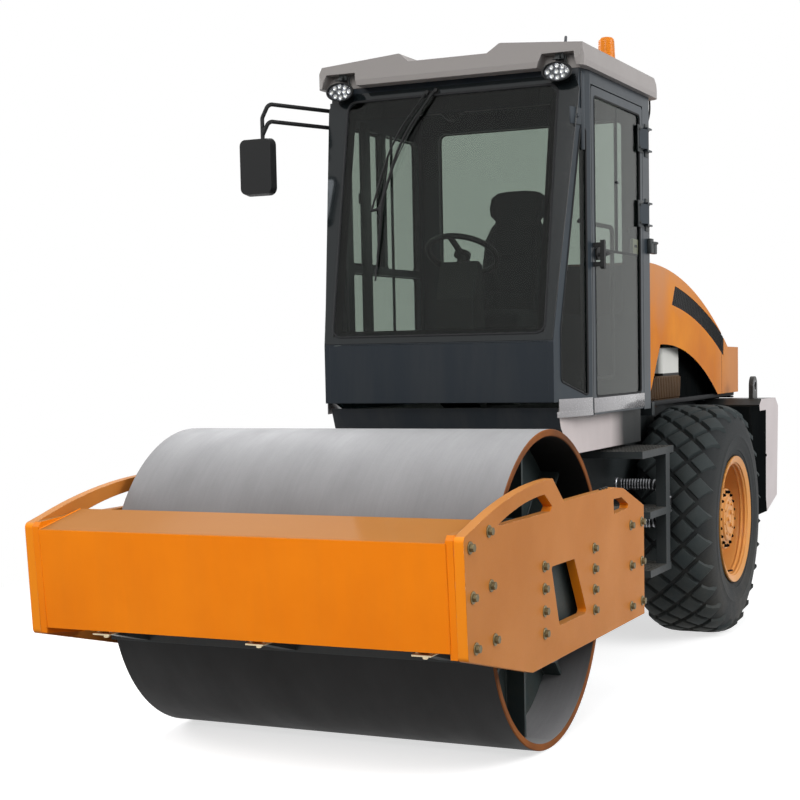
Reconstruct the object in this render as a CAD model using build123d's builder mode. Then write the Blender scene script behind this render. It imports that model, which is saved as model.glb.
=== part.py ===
"""Single-drum vibratory soil roller: articulated, with a glazed cab over the hinge.

Row frame: +X forward, +Y to the machine's left, +Z up, ground at z = 0, and the origin
midway between the front beam's face and the rear weight's back. Sizes are millimetres.
"""
import os
from math import atan2, cos, degrees, hypot, radians, sin, sqrt, tan

from build123d import *

os.makedirs("parts", exist_ok=True)

# ---------------------------------------------------------------- driving dimensions
wheelbase = 3170.0            # drum axle to rear axle
front_reach = 1202.0          # drum axle to the front beam's face
rear_reach = 1655.0           # rear axle to the rear weight's back
pivot_back = 1450.0           # drum axle back to the steering pivot

drum_width = 1880.0
drum_radius = 723.0
drum_wall = 32.0
drum_disc_inset = 250.0       # end disc, in from the drum's edge
drum_disc_thickness = 30.0
drum_hub_radius = 210.0
drum_gussets = 8
gusset_thickness = 20.0
gusset_depth = 90.0
drum_hub_depth = 40.0         # flange round the drum's bearing

plate_gap = 50.0              # drum edge to side plate
plate_thickness = 43.0
plate_bottom = 440.0
plate_bolt_radius = 17.0      # hexagon bolt head, over its corners
plate_bolt_height = 20.0
beam_end_thickness = 33.0     # flanges that close the beam's ends
beam_bottom = 638.0
beam_depth = 302.0            # front face back to the beam's rear wall

tyre_radius = 719.0
tyre_width = 500.0
tyre_outer = 1030.0           # tyre's outer face from the centreline
tyre_carcass = 697.0          # radius at the floor of the tread's grooves
tread_lugs = 26               # diamond lugs in one turn of a row
tread_pitch = 88.0            # one row of lugs to the next, across the tyre
lug_half_round = 69.0         # half diagonal of a lug along the tread
lug_half_across = 70.0        # half diagonal of a lug across the tread
rim_radius = 394.0            # rim flange
hub_radius = 215.0

tyre_clearance = 50.0         # tyre's inner wall to the rear frame's side plate
frame_plate = 25.0
frame_top = 1436.0            # rear frame's deck behind the cab
nose_top = 1230.0             # rear frame's top under the cab

cab_half_width = 731.0
cab_front_half_width = 651.0
cab_overhang = 579.0          # pivot forward to the cab's front panel
cab_length = 1422.0           # front panel to rear wall
cab_corner_length = 371.0     # how far back each front corner's facet runs
cab_floor = 1450.0            # underside of the sides
cab_front_bottom = 1535.0     # underside of the front panel
cab_top = 3231.0              # underside of the roof
cab_wall = 45.0
glass_thickness = 8.0
screen_bottom = 1842.0
screen_setback = 272.0        # how far the windscreen leans back at the roof

door_rear_gap = 130.0         # rear wall forward to the door's hinged edge
door_gap = 6.0                # running gap all round the door
door_frame = 48.0             # width of the door's frame
hinge_offset = 20.0           # hinge axis outside the door's face

roof_height = 107.0           # cab top to the roof's channel
roof_side_overhang = 32.0
roof_rim_height = 119.0       # cab top to the roof's outer edges
roof_crest_height = 158.0     # cab top to the inner edge of each shoulder

hood_half_width = 660.0
hood_wall = 12.0
hood_bottom = 1475.0

weight_half_width = 925.0
weight_length = 480.0
weight_bottom = 640.0
weight_top = 1390.0

pin_radius = 45.0
pin_clearance = 0.08          # running clearance of every pin in its bore
rest_gap = 0.3                # between bodies that rest against each other

# ---------------------------------------------------------------- stations
overall_length = front_reach + wheelbase + rear_reach
drum_x = overall_length / 2 - front_reach
axle_x = drum_x - wheelbase
rear_x = axle_x - rear_reach
pivot_x = drum_x - pivot_back
cab_front_x = pivot_x + cab_overhang
cab_rear_x = cab_front_x - cab_length
plate_inner = drum_width / 2 + plate_gap
plate_outer = plate_inner + plate_thickness
beam_half_width = plate_inner - beam_end_thickness
frame_half_width = tyre_outer - tyre_width - tyre_clearance
wheel_mid_y = tyre_outer - tyre_width / 2
sides = (("left", 1), ("right", -1))


def across(y):
    """Plane with its sketch in X and Z, standing at this Y; it faces -Y."""
    return Plane.XZ.offset(-y)


def lengthwise(x):
    """Plane with its sketch in Y and Z, standing at this X; it faces +X."""
    return Plane.YZ.offset(x)


def keep(builder, name):
    builder.part.label = name
    export_step(builder.part, f"parts/{name}.step")


# ================================================================ front frame
# Side plate outline, from the drum axle: x ahead, z up. The crown is one arc.
plate_crown = ((1088, 1122), (664, 1212), (209, 1243))
plate_back = (
    (65, 1129),
    (-659, 1131),
    (-798, 1115),
    (-1139, 1000),
    (-1139, plate_bottom),
    (479, plate_bottom),
    (1168, 612),
    (1197, 1094),
)
plate_window = ((238, 860), (-63, 857), (-224, 597), (-197, 585), (115, 586), (145, 593))
plate_rear_slot = ((-640, 1075), (-767, 1073), (-878, 1031), (-866, 1009), (-648, 1002))
plate_front_slot = ((845, 1108), (598, 1160), (312, 1182))
plate_slot_floor = ((219, 1124), (243, 1102), (816, 1102))
carrier_bolt_rows = (873, 776, 679, 582)
beam_bolts = ((945, 1093), (1136, 1050), (928, 875), (1115, 854), (896, 654), (1092, 651))
cross_bolt_columns = (-916, -1100)
cross_bolt_rows = (919, 717, 512)
bolt_columns = (327.0, -342.0)
plate_bolts = (
    *((column, row) for column in bolt_columns for row in carrier_bolt_rows),
    *beam_bolts,
    *((column, row) for column in cross_bolt_columns for row in cross_bolt_rows),
)

for side, sign in sides:
    mid_y = sign * (plate_inner + plate_thickness / 2)
    plate_plane = across(mid_y).shift_origin((drum_x, mid_y, 0))
    with BuildPart() as side_plate:
        with BuildSketch(plate_plane):
            with BuildLine():
                crown = ThreePointArc(*plate_crown)
                Polyline(crown @ 1, *plate_back, crown @ 0)
            make_face()
        extrude(amount=plate_thickness / 2, both=True)
        with BuildSketch(plate_plane):
            with BuildLine():
                FilletPolyline(*plate_window, radius=12, close=True)
            make_face()
            with BuildLine():
                FilletPolyline(*plate_rear_slot, radius=10, close=True)
            make_face()
            with BuildLine():
                slot_arc = ThreePointArc(*plate_front_slot)
                Polyline(slot_arc @ 1, *plate_slot_floor, slot_arc @ 0)
            make_face()
        extrude(amount=plate_thickness, both=True, mode=Mode.SUBTRACT)
        fillet(
            side_plate.edges().filter_by(Axis.Y).sort_by(Axis.X)[-2:],
            radius=24,
        )
        # Bolt heads on the outer face: carrier, front beam and crossbeam.
        with BuildSketch(plate_plane.offset(-sign * plate_thickness / 2)):
            with Locations(*plate_bolts):
                RegularPolygon(radius=plate_bolt_radius, side_count=6)
        extrude(amount=-sign * plate_bolt_height)
    keep(side_plate, f"side_plate_{side}")

# Front beam: a deep box with a raked face and a top that rises towards the drum.
beam_face_x = drum_x + front_reach
beam_top = 1070.0
beam_rise = 62.0
beam_rake = 34.0
flange_lift = 32.0
beam_back_x = beam_face_x - beam_depth

with BuildPart() as front_beam:
    with BuildSketch(across(0)):
        with BuildLine():
            Polyline(
                (beam_face_x - beam_rake, beam_bottom),
                (beam_face_x, beam_top),
                (beam_back_x, beam_top + beam_rise),
                (beam_back_x, beam_bottom),
                close=True,
            )
        make_face()
    extrude(amount=beam_half_width, both=True)
    for side, sign in sides:
        with BuildSketch(across(sign * (beam_half_width + beam_end_thickness / 2))):
            with BuildLine():
                Polyline(
                    (beam_face_x - beam_rake - 2, beam_bottom - 24),
                    (beam_face_x - 2, beam_top + 12),
                    (beam_face_x - 20, beam_top + flange_lift),
                    (beam_back_x, beam_top + beam_rise - 14),
                    (beam_back_x, beam_bottom - 60),
                    close=True,
                )
            make_face()
        extrude(amount=beam_end_thickness / 2, both=True)
keep(front_beam, "front_beam")

# Rear crossbeam, with the two hitch ears that hold the steering pins.
cross_back = 1120.0           # drum axle back to the crossbeam's rear face
cross_back_x = drum_x - cross_back
cross_depth = 190.0
cross_front_x = cross_back_x + cross_depth
cross_bottom = 470.0
cross_top = 1000.0
ear_lower = 500.0             # underside of the lower ear
ear_upper = 890.0             # underside of the upper ear
ear_thickness = 50.0
ear_radius = 130.0
ear_root_half_width = 300.0
pin_grip = 70.0               # how deep each pin enters the rear frame's nose
pin_head_radius = 70.0
pin_head = 14.0

# Steering rams: one each side of the hinge, barrel on the rear frame, rod on the front.
ram_y = 280.0
ram_z = 720.0
ram_front = 230.0             # rod eye ahead of the pivot
ram_back = 480.0              # barrel eye behind the pivot
ram_eye_radius = 38.0
ram_eye_half = 30.0
ram_pin_radius = 18.0
ram_barrel_radius = 46.0
ram_rod_radius = 22.0
ram_barrel_length = 430.0     # barrel eye to the barrel's mouth
ram_neck = 60.0               # barrel eye to the barrel's closed end
ram_rod_length = 480.0        # rod eye back to the piston's end
ram_swing = 12.0              # degrees that a barrel swings
clevis_gap = 2.0
clevis_thickness = 20.0
ram_front_x = pivot_x + ram_front
ram_back_x = pivot_x - ram_back
clevis_levels = (
    ram_z - ram_eye_half - clevis_gap - clevis_thickness,
    ram_z + ram_eye_half + clevis_gap,
)

with BuildPart() as crossbeam:
    with BuildSketch(across(0)):
        with BuildLine():
            FilletPolyline(
                (cross_back_x, cross_bottom),
                (cross_front_x, cross_bottom + 40),
                (cross_front_x, cross_top - 40),
                (cross_back_x, cross_top),
                radius=20,
                close=True,
            )
        make_face()
    extrude(amount=plate_inner, both=True)
    for ear_z in (ear_lower, ear_upper):
        with BuildSketch(Plane.XY.offset(ear_z)):
            with BuildLine():
                tip = ThreePointArc(
                    (pivot_x, ear_radius),
                    (pivot_x - ear_radius, 0),
                    (pivot_x, -ear_radius),
                )
                Polyline(
                    tip @ 1,
                    (cross_back_x + 30, -ear_root_half_width),
                    (cross_back_x + 30, ear_root_half_width),
                    tip @ 0,
                )
            make_face()
        extrude(amount=ear_thickness)
    # Fixed pins, one through each ear, with a flanged head on the outside.
    for head_z, shaft_z in (
        (ear_lower - pin_head, ear_lower - pin_head),
        (ear_upper + ear_thickness, ear_upper - pin_grip),
    ):
        with BuildSketch(Plane.XY.offset(head_z)):
            with Locations((pivot_x, 0)):
                Circle(pin_head_radius)
        extrude(amount=pin_head)
        with BuildSketch(Plane.XY.offset(shaft_z)):
            with Locations((pivot_x, 0)):
                Circle(pin_radius)
        extrude(amount=pin_head + ear_thickness + pin_grip)
    # Clevis plates for the two steering rams.
    for side, sign in sides:
        for clevis_z in clevis_levels:
            with BuildSketch(Plane.XY.offset(clevis_z)):
                with Locations(((ram_front_x + cross_back_x + 20) / 2, sign * ram_y)):
                    Rectangle(cross_back_x + 20 - ram_front_x, 2 * ram_eye_radius)
                with Locations((ram_front_x, sign * ram_y)):
                    Circle(ram_eye_radius)
            extrude(amount=clevis_thickness)
keep(crossbeam, "crossbeam")

# Drum carriers: a plate on each side plate, rubber buffers, and the hub's stub shaft.
carrier_radius = 330.0
carrier_thickness = 30.0
buffer_radius = 45.0
buffer_length = 70.0
buffer_circle = 240.0
stub_radius = 80.0
spacer_width = 90.0           # pads between the side plate and the carrier
spacer_height = 390.0
carrier_height = 400.0
carrier_edge = 55.0           # the carrier's ends past its bolt columns
inner_plate_thickness = 24.0
disc_y = drum_width / 2 - drum_disc_inset
spacer_depth = 30.0           # the carrier plate stands this far in from the side plate
inner_plate_y = plate_inner - spacer_depth - carrier_thickness - buffer_length

with BuildPart() as drum_carriers:
    for side, sign in sides:
        carrier_plane = across(sign * plate_inner).shift_origin((drum_x, sign * plate_inner, drum_radius))
        with BuildSketch(carrier_plane):
            for column_x in bolt_columns:
                with Locations((column_x, 0)):
                    Rectangle(spacer_width, spacer_height)
        extrude(amount=sign * spacer_depth)
        with BuildSketch(carrier_plane.offset(sign * spacer_depth)):
            Rectangle(bolt_columns[0] - bolt_columns[1] + 2 * carrier_edge, carrier_height)
            Circle(carrier_radius)
        extrude(amount=sign * carrier_thickness)
        with BuildSketch(carrier_plane.offset(sign * (plate_inner - inner_plate_y))):
            Circle(carrier_radius - 30)
        extrude(amount=sign * inner_plate_thickness)
        with BuildSketch(carrier_plane.offset(sign * (spacer_depth + carrier_thickness))):
            with PolarLocations(buffer_circle, 6):
                Circle(buffer_radius)
        extrude(amount=sign * buffer_length)
        with BuildSketch(carrier_plane.offset(sign * (plate_inner - inner_plate_y))):
            Circle(stub_radius)
        extrude(amount=sign * (inner_plate_y - disc_y + 60))
keep(drum_carriers, "drum_carriers")

# Scrapers: a bar in front of the drum and one behind, each on three arms.
scraper_gap = 8.0
scraper_arm_ys = (-760.0, 0.0, 760.0)
scraper_arm_width = 80.0
scraper_z = 560.0
blade_height = 90.0
blade_thickness = 20.0
blade_inner = sqrt(drum_radius**2 - (drum_radius - scraper_z - blade_height / 2) ** 2) + scraper_gap
scraper_foot_x = beam_face_x - 184
scraper_foot_length = 80.0    # along the beam's underside
scraper_foot_drop = 40.0
cross_foot_z = 560.0          # top of the rear arms' feet on the crossbeam
cross_foot_height = 60.0
with BuildPart() as scrapers:
    for direction, foot in (
        (
            1,
            (
                (scraper_foot_x - scraper_foot_length, beam_bottom),
                (scraper_foot_x, beam_bottom),
                (scraper_foot_x, beam_bottom - scraper_foot_drop),
            ),
        ),
        (-1, ((cross_front_x, cross_foot_z), (cross_front_x, cross_foot_z - cross_foot_height))),
    ):
        blade_x = drum_x + direction * (blade_inner + blade_thickness / 2)
        with BuildSketch(across(0)):
            with Locations((blade_x, scraper_z)):
                Rectangle(blade_thickness, blade_height)
        extrude(amount=plate_inner - 60, both=True)
        for arm_y in scraper_arm_ys:
            with BuildSketch(across(arm_y)):
                with BuildLine():
                    Polyline(
                        (blade_x, scraper_z - 40),
                        (blade_x, scraper_z + 30),
                        *foot,
                        close=True,
                    )
                make_face()
            extrude(amount=scraper_arm_width / 2, both=True)
keep(scrapers, "scrapers")

# ================================================================ drum
with BuildPart() as drum_shell:
    with BuildSketch(across(0).shift_origin((drum_x, 0, drum_radius))):
        Circle(drum_radius)
        Circle(drum_radius - drum_wall, mode=Mode.SUBTRACT)
    extrude(amount=drum_width / 2, both=True)
    chamfer(drum_shell.edges().group_by(Axis.Y)[0] + drum_shell.edges().group_by(Axis.Y)[-1], 4)
keep(drum_shell, "drum_shell")

gusset_outer = drum_radius - drum_wall - 2
gusset_length = gusset_outer - drum_hub_radius - 110
gusset_middle = gusset_outer - gusset_length / 2
with BuildPart() as drum_discs:
    for side, sign in sides:
        disc_plane = across(sign * disc_y).shift_origin((drum_x, sign * disc_y, drum_radius))
        with BuildSketch(disc_plane):
            Circle(drum_radius - drum_wall)
            Circle(stub_radius + pin_clearance, mode=Mode.SUBTRACT)
        extrude(amount=-sign * drum_disc_thickness)
        with BuildSketch(disc_plane.offset(-sign * drum_disc_thickness)):
            Circle(drum_hub_radius)
            Circle(stub_radius + pin_clearance, mode=Mode.SUBTRACT)
        extrude(amount=-sign * drum_hub_depth)
        with BuildSketch(disc_plane.offset(-sign * drum_disc_thickness)):
            with PolarLocations(gusset_middle, drum_gussets):
                Rectangle(gusset_length, gusset_thickness)
        extrude(amount=-sign * gusset_depth)
keep(drum_discs, "drum_discs")

# ================================================================ rear frame
nose_reach = 300.0            # pivot back to the frame's front cross plate
nose_front_x = pivot_x - nose_reach
nose_boss_radius = 115.0
nose_root_half_width = 150.0
hood_rest_back = 290.0        # cab's rear wall to the hood's rest
hood_rest_x = cab_rear_x - hood_rest_back
frame_bottom = 560.0
axle_relief = tyre_radius + 111
relief_half = 250.0           # half width of the frame's arch over the axle, at its top
relief_foot = 420.0           # and at its foot
frame_step = 110.0            # the frame's rise behind the cab, and its end ahead of the weight
cab_back_x = cab_rear_x - frame_step
weight_front_x = rear_x + weight_length + frame_step
nose_lower = ear_lower + ear_thickness + 2
nose_upper = ear_upper - 2

with BuildPart() as rear_frame:
    for side, sign in sides:
        with BuildSketch(across(sign * (frame_half_width - frame_plate / 2))):
            with BuildLine():
                Polyline(
                    (nose_front_x, frame_bottom),
                    (nose_front_x, nose_top),
                    (cab_back_x, nose_top),
                    (cab_back_x - 60, frame_top),
                    (weight_front_x, frame_top),
                    (weight_front_x, weight_bottom + 60),
                    (axle_x - relief_foot, frame_bottom),
                    (axle_x - relief_half, axle_relief),
                    (axle_x + relief_half, axle_relief),
                    (axle_x + relief_foot, frame_bottom),
                    close=True,
                )
            make_face()
        extrude(amount=frame_plate / 2, both=True)
    with BuildSketch(across(0)):
        for cross_x, low, high in (
            (nose_front_x - 15, frame_bottom, nose_top),
            (cab_back_x + 15, axle_relief, nose_top),
            (weight_front_x + 15, weight_bottom + 60, frame_top),
        ):
            with Locations((cross_x, (low + high) / 2)):
                Rectangle(30, high - low)
    extrude(amount=frame_half_width - frame_plate, both=True)
    with BuildSketch(Plane.XY.offset(nose_lower)):
        with BuildLine():
            nose_tip = ThreePointArc(
                (pivot_x, nose_boss_radius),
                (pivot_x + nose_boss_radius, 0),
                (pivot_x, -nose_boss_radius),
            )
            Polyline(
                nose_tip @ 1,
                (nose_front_x, -nose_root_half_width),
                (nose_front_x, nose_root_half_width),
                nose_tip @ 0,
            )
        make_face()
        with Locations((pivot_x, 0)):
            Circle(pin_radius + pin_clearance, mode=Mode.SUBTRACT)
    extrude(amount=nose_upper - nose_lower)
    # Windows for the ram barrels, and the brackets and pins that hold them.
    barrel_sweep = (nose_front_x - ram_back_x) * tan(radians(ram_swing))
    bracket_inner_y = ram_y - ram_eye_radius - 8
    bracket_outer_y = frame_half_width - frame_plate + 5
    for side, sign in sides:
        with BuildSketch(lengthwise(nose_front_x + 1)):
            with Locations((sign * ram_y, ram_z)):
                Rectangle(2 * (ram_barrel_radius + barrel_sweep + 8), 2 * (ram_barrel_radius + 8))
        extrude(amount=-40, mode=Mode.SUBTRACT)
        for clevis_z in clevis_levels:
            with BuildSketch(Plane.XY.offset(clevis_z)):
                with Locations((ram_back_x, sign * (bracket_inner_y + bracket_outer_y) / 2)):
                    Rectangle(2 * ram_eye_radius + 4, bracket_outer_y - bracket_inner_y)
            extrude(amount=clevis_thickness)
        with BuildSketch(Plane.XY.offset(clevis_levels[0])):
            with Locations((ram_back_x, sign * ram_y)):
                Circle(ram_pin_radius)
        extrude(amount=clevis_levels[1] - clevis_levels[0] + clevis_thickness)
        # Arm that carries the hood's front edge, with its rubber rest.
        with BuildSketch(across(sign * frame_half_width)):
            with Locations((hood_rest_x, frame_top - 20)):
                Rectangle(60, 40)
        extrude(amount=-sign * (hood_half_width - frame_half_width))
        with BuildSketch(Plane.XY.offset(frame_top)):
            with Locations((hood_rest_x, sign * (hood_half_width - 25))):
                Rectangle(50, 50)
        extrude(amount=hood_bottom - frame_top - rest_gap)
keep(rear_frame, "rear_frame")

# Ram barrels and rods.
for side, sign in sides:
    with BuildPart() as ram_barrel:
        with BuildSketch(Plane.XY.offset(ram_z)):
            with Locations((ram_back_x, sign * ram_y)):
                Circle(ram_eye_radius)
        extrude(amount=ram_eye_half, both=True)
        with BuildSketch(lengthwise(ram_back_x + 30)):
            with Locations((sign * ram_y, ram_z)):
                Circle(ram_eye_half)
        extrude(amount=ram_neck - 20)
        with BuildSketch(lengthwise(ram_back_x + ram_neck)):
            with Locations((sign * ram_y, ram_z)):
                Circle(ram_barrel_radius)
        extrude(amount=ram_barrel_length - ram_neck)
        with BuildSketch(lengthwise(ram_back_x + ram_neck + 6)):
            with Locations((sign * ram_y, ram_z)):
                Circle(ram_rod_radius + pin_clearance)
        extrude(amount=ram_barrel_length, mode=Mode.SUBTRACT)
        with BuildSketch(Plane.XY.offset(ram_z)):
            with Locations((ram_back_x, sign * ram_y)):
                Circle(ram_pin_radius + pin_clearance)
        extrude(amount=ram_eye_half + 1, both=True, mode=Mode.SUBTRACT)
    keep(ram_barrel, f"ram_barrel_{side}")

    with BuildPart() as ram_rod:
        with BuildSketch(lengthwise(ram_front_x - ram_rod_length)):
            with Locations((sign * ram_y, ram_z)):
                Circle(ram_rod_radius)
        extrude(amount=ram_rod_length)
        with BuildSketch(Plane.XY.offset(ram_z)):
            with Locations((ram_front_x, sign * ram_y)):
                Circle(ram_eye_radius)
        extrude(amount=ram_eye_half, both=True)
    keep(ram_rod, f"ram_rod_{side}")

# Engine: a plain block at its place between the frame plates.
engine_length = 1100.0
engine_width = 620.0
axle_case_radius = 215.0      # differential's case
axle_case_clearance = 26.0
engine_bottom = tyre_radius + axle_case_radius + axle_case_clearance
engine_top = 1760.0
engine_front_x = axle_x + 280
sump_rise = 120.0             # the sump's front end is this much higher
sump_run = 300.0
shelf_thickness = 16.0
bottle_length = 400.0
bottle_width = 120.0
bottle_height = 160.0
bottle_outer = 600.0
bottle_z = 1640.0
bottle_x = axle_x - 10
with BuildPart() as engine:
    with BuildSketch(across(0)):
        with BuildLine():
            FilletPolyline(
                (engine_front_x, engine_bottom + sump_rise),
                (engine_front_x, engine_top),
                (engine_front_x - engine_length, engine_top),
                (engine_front_x - engine_length, engine_bottom),
                (engine_front_x - sump_run, engine_bottom),
                radius=30,
                close=True,
            )
        make_face()
    extrude(amount=engine_width / 2, both=True)
    # Bearers down to the frame plates, and a shelf for the coolant bottle.
    with BuildSketch(across(0)):
        for bearer_x in (engine_front_x - 200, engine_front_x - engine_length + 150):
            with Locations((bearer_x, engine_bottom + 250)):
                Rectangle(90, 60)
    extrude(amount=frame_half_width - frame_plate, both=True)
    with BuildSketch(Plane.XY.offset(bottle_z - shelf_thickness)):
        with Locations((bottle_x, (engine_width / 2 + bottle_outer) / 2 - 5)):
            Rectangle(bottle_length - 40, bottle_outer - engine_width / 2 + 10)
    extrude(amount=shelf_thickness)
keep(engine, "engine")

with BuildPart() as coolant_bottle:
    with BuildSketch(Plane.XY.offset(bottle_z)):
        with Locations((bottle_x, bottle_outer - bottle_width / 2)):
            RectangleRounded(bottle_length, bottle_width, 30)
    extrude(amount=bottle_height)
keep(coolant_bottle, "coolant_bottle")

# Hydraulic tank between the cab and the engine, across the frame's deck.
tank_length = 400.0
tank_height = 250.0
tank_half_width = 600.0
tank_front_x = cab_rear_x - 170
tank_ribs = 6
tank_rib_pitch = 52.0
tank_rib_width = 16.0
tank_rib_depth = 10.0
tank_rib_lean = 12.0          # degrees
tank_rib_height = 160.0
with BuildPart() as hydraulic_tank:
    with BuildSketch(across(0)):
        with BuildLine():
            Polyline(
                (tank_front_x, frame_top),
                (tank_front_x, frame_top + tank_height - 60),
                (tank_front_x - 90, frame_top + tank_height),
                (tank_front_x - tank_length + 60, frame_top + tank_height),
                (tank_front_x - tank_length, frame_top),
                close=True,
            )
        make_face()
    extrude(amount=tank_half_width, both=True)
    with BuildSketch(across(0)):
        with Locations((hood_rest_x, frame_top)):
            Rectangle(90, 90)
    extrude(amount=2 * tank_half_width, both=True, mode=Mode.SUBTRACT)
    # Stiffening ribs pressed out of each end.
    for side, sign in sides:
        with BuildSketch(across(sign * (tank_half_width - 2))):
            with Locations((tank_front_x - tank_length / 2, frame_top + tank_rib_height / 2 + 30)):
                with GridLocations(tank_rib_pitch, 0, tank_ribs, 1):
                    Rectangle(tank_rib_width, tank_rib_height, rotation=tank_rib_lean)
        extrude(amount=-sign * (tank_rib_depth + 2))
keep(hydraulic_tank, "hydraulic_tank")

# Rear axle: differential, tapered tubes and a flange at each wheel.
axle_flange_y = wheel_mid_y - 140
axle_stub = 150.0             # how far the stub shaft enters the wheel's hub
axle_stub_radius = 60.0
tube_radius = 95.0
with BuildPart() as rear_axle:
    with BuildSketch(Plane((axle_x, 0, tyre_radius), x_dir=(0, 1, 0), z_dir=(1, 0, 0))):
        with BuildLine():
            Polyline(
                (-axle_flange_y - axle_stub, 0),
                (-axle_flange_y - axle_stub, axle_stub_radius),
                (-axle_flange_y, axle_stub_radius),
                (-axle_flange_y, 150),
                (-axle_flange_y + 24, 150),
                (-axle_flange_y + 24, tube_radius),
                (-240, tube_radius),
                (-150, 190),
                (-60, axle_case_radius),
                (60, axle_case_radius),
                (150, 190),
                (240, tube_radius),
                (axle_flange_y - 24, tube_radius),
                (axle_flange_y - 24, 150),
                (axle_flange_y, 150),
                (axle_flange_y, axle_stub_radius),
                (axle_flange_y + axle_stub, axle_stub_radius),
                (axle_flange_y + axle_stub, 0),
                close=True,
            )
        make_face()
    revolve(axis=Axis((axle_x, 0, tyre_radius), (0, 1, 0)))
    for side, sign in sides:
        with BuildSketch(across(sign * (frame_half_width - frame_plate))):
            with Locations((axle_x, (tyre_radius + axle_relief) / 2)):
                Rectangle(300, axle_relief - tyre_radius)
        extrude(amount=40, both=True)
keep(rear_axle, "rear_axle")

# Rear weight across the tail: chamfered top, undercut below.
weight_rear_x = rear_x
weight_slant = 226.0          # the lower front edge lies this far behind the upper one
eye_y = 850.0
eye_thickness = 30.0
eye_radius = 65.0
eye_bore = 30.0
eye_x = weight_front_x - 130
eye_z = frame_top + 90
hood_rear_x = rear_x + 106
knuckle_radius = 16.0
knuckle_length = 70.0
hood_pin_radius = 8.0
hood_hinge_ys = (-400.0, 400.0)
hood_hinge_x = hood_rear_x - 26
hood_hinge_z = hood_bottom - 13
with BuildPart() as rear_weight:
    with BuildSketch(across(0)):
        with BuildLine():
            Polyline(
                (weight_front_x, frame_top - 40),
                (weight_front_x - 60, frame_top),
                (weight_rear_x + 90, frame_top - 6),
                (weight_rear_x, weight_top - 20),
                (weight_rear_x + 43, weight_bottom + 90),
                (weight_front_x - weight_slant, weight_bottom),
                close=True,
            )
        make_face()
    extrude(amount=weight_half_width, both=True)
    # Lifting eyes, one on each side.
    for side, sign in sides:
        with BuildSketch(across(sign * eye_y)):
            with BuildLine():
                eye_top = ThreePointArc(
                    (eye_x - eye_radius, eye_z),
                    (eye_x, eye_z + eye_radius),
                    (eye_x + eye_radius, eye_z),
                )
                Polyline(
                    eye_top @ 1,
                    (eye_x + eye_radius, frame_top - 30),
                    (eye_x - eye_radius, frame_top - 30),
                    eye_top @ 0,
                )
            make_face()
        extrude(amount=eye_thickness / 2, both=True)
        with BuildSketch(across(sign * eye_y)):
            with Locations((eye_x, eye_z)):
                Circle(eye_bore)
        extrude(amount=eye_thickness, both=True, mode=Mode.SUBTRACT)
    # Posts and pin of the hood's hinge.
    for hinge_side in hood_hinge_ys:
        with BuildSketch(across(hinge_side)):
            with BuildLine():
                Polyline(
                    (hood_hinge_x - 22, frame_top - 20),
                    (hood_hinge_x - 22, hood_hinge_z + 14),
                    (hood_hinge_x + 22, hood_hinge_z + 14),
                    (hood_hinge_x + 22, frame_top - 20),
                    close=True,
                )
            make_face()
        extrude(amount=knuckle_length / 2 + 22, both=True)
        with BuildSketch(across(hinge_side)):
            with Locations((hood_hinge_x, hood_hinge_z)):
                Rectangle(60, 2 * knuckle_radius + 12)
        extrude(amount=knuckle_length / 2 + 2, both=True, mode=Mode.SUBTRACT)
        with BuildSketch(across(hinge_side)):
            with Locations((hood_hinge_x, hood_hinge_z)):
                Circle(hood_pin_radius)
        extrude(amount=knuckle_length / 2 + 22, both=True)
keep(rear_weight, "rear_weight")

# Side boxes ahead of the weight, behind each tyre.
box_front_x = axle_x - tyre_radius - 60
with BuildPart() as side_boxes:
    for side, sign in sides:
        with BuildSketch(across(sign * (frame_half_width + weight_half_width - 2) / 2)):
            with BuildLine():
                Polyline(
                    (box_front_x, frame_top - 40),
                    (weight_front_x, frame_top - 40),
                    (weight_front_x - weight_slant, weight_bottom),
                    (box_front_x - 60, weight_bottom),
                    (box_front_x, 1000),
                    close=True,
                )
            make_face()
        extrude(amount=(weight_half_width - frame_half_width - 2) / 2, both=True)
keep(side_boxes, "side_boxes")

# ================================================================ wheels
disc_inner_y = axle_flange_y + 10
tyre_half = tyre_width / 2
bead_radius = rim_radius - 24
# Half of the tyre's section: distance out from the wheel's middle plane, radius.
tyre_section = (
    (tyre_half - 40, bead_radius),
    (tyre_half - 28, rim_radius + 6),
    (tyre_half - 6, rim_radius + 76),
    (tyre_half, (rim_radius + tyre_radius) / 2 + 14),
    (tyre_half - 4, tyre_carcass - 57),
    (tyre_half - 25, tyre_carcass - 17),
    (tyre_half - 65, tyre_carcass),
)
# Rows of lugs: across from the wheel's middle plane, top's distance from the axle, tilt, depth.
lug_top = sqrt(tyre_radius**2 - lug_half_round**2)
lug_root = lug_top - tyre_carcass + 4
shoulder_tilt = 10.0
shoulder_drop = lug_half_across * sin(radians(shoulder_tilt))
tread_rows = (
    (0.0, lug_top, 0.0, lug_root),
    (tread_pitch, lug_top, 0.0, lug_root),
    (-tread_pitch, lug_top, 0.0, lug_root),
    (2 * tread_pitch, lug_top - shoulder_drop, shoulder_tilt, lug_root + 18),
    (-2 * tread_pitch, lug_top - shoulder_drop, -shoulder_tilt, lug_root + 18),
)
lug_turn = 360.0 / tread_lugs


def lug_planes(wheel_y, row, start_turn):
    """A plane on top of each lug in one row: sketch x runs round the tyre, y across it."""
    offset_y, top_radius, tilt, depth = row
    planes = []
    for lug in range(tread_lugs):
        turn = radians(start_turn + lug * lug_turn)
        out = Vector(sin(turn), 0, cos(turn))
        lean = radians(tilt)
        planes.append(
            Plane(
                Vector(axle_x, wheel_y + offset_y, tyre_radius) + out * top_radius,
                x_dir=(cos(turn), 0, -sin(turn)),
                z_dir=out * cos(lean) + Vector(0, sin(lean), 0),
            )
        )
    return planes


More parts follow.
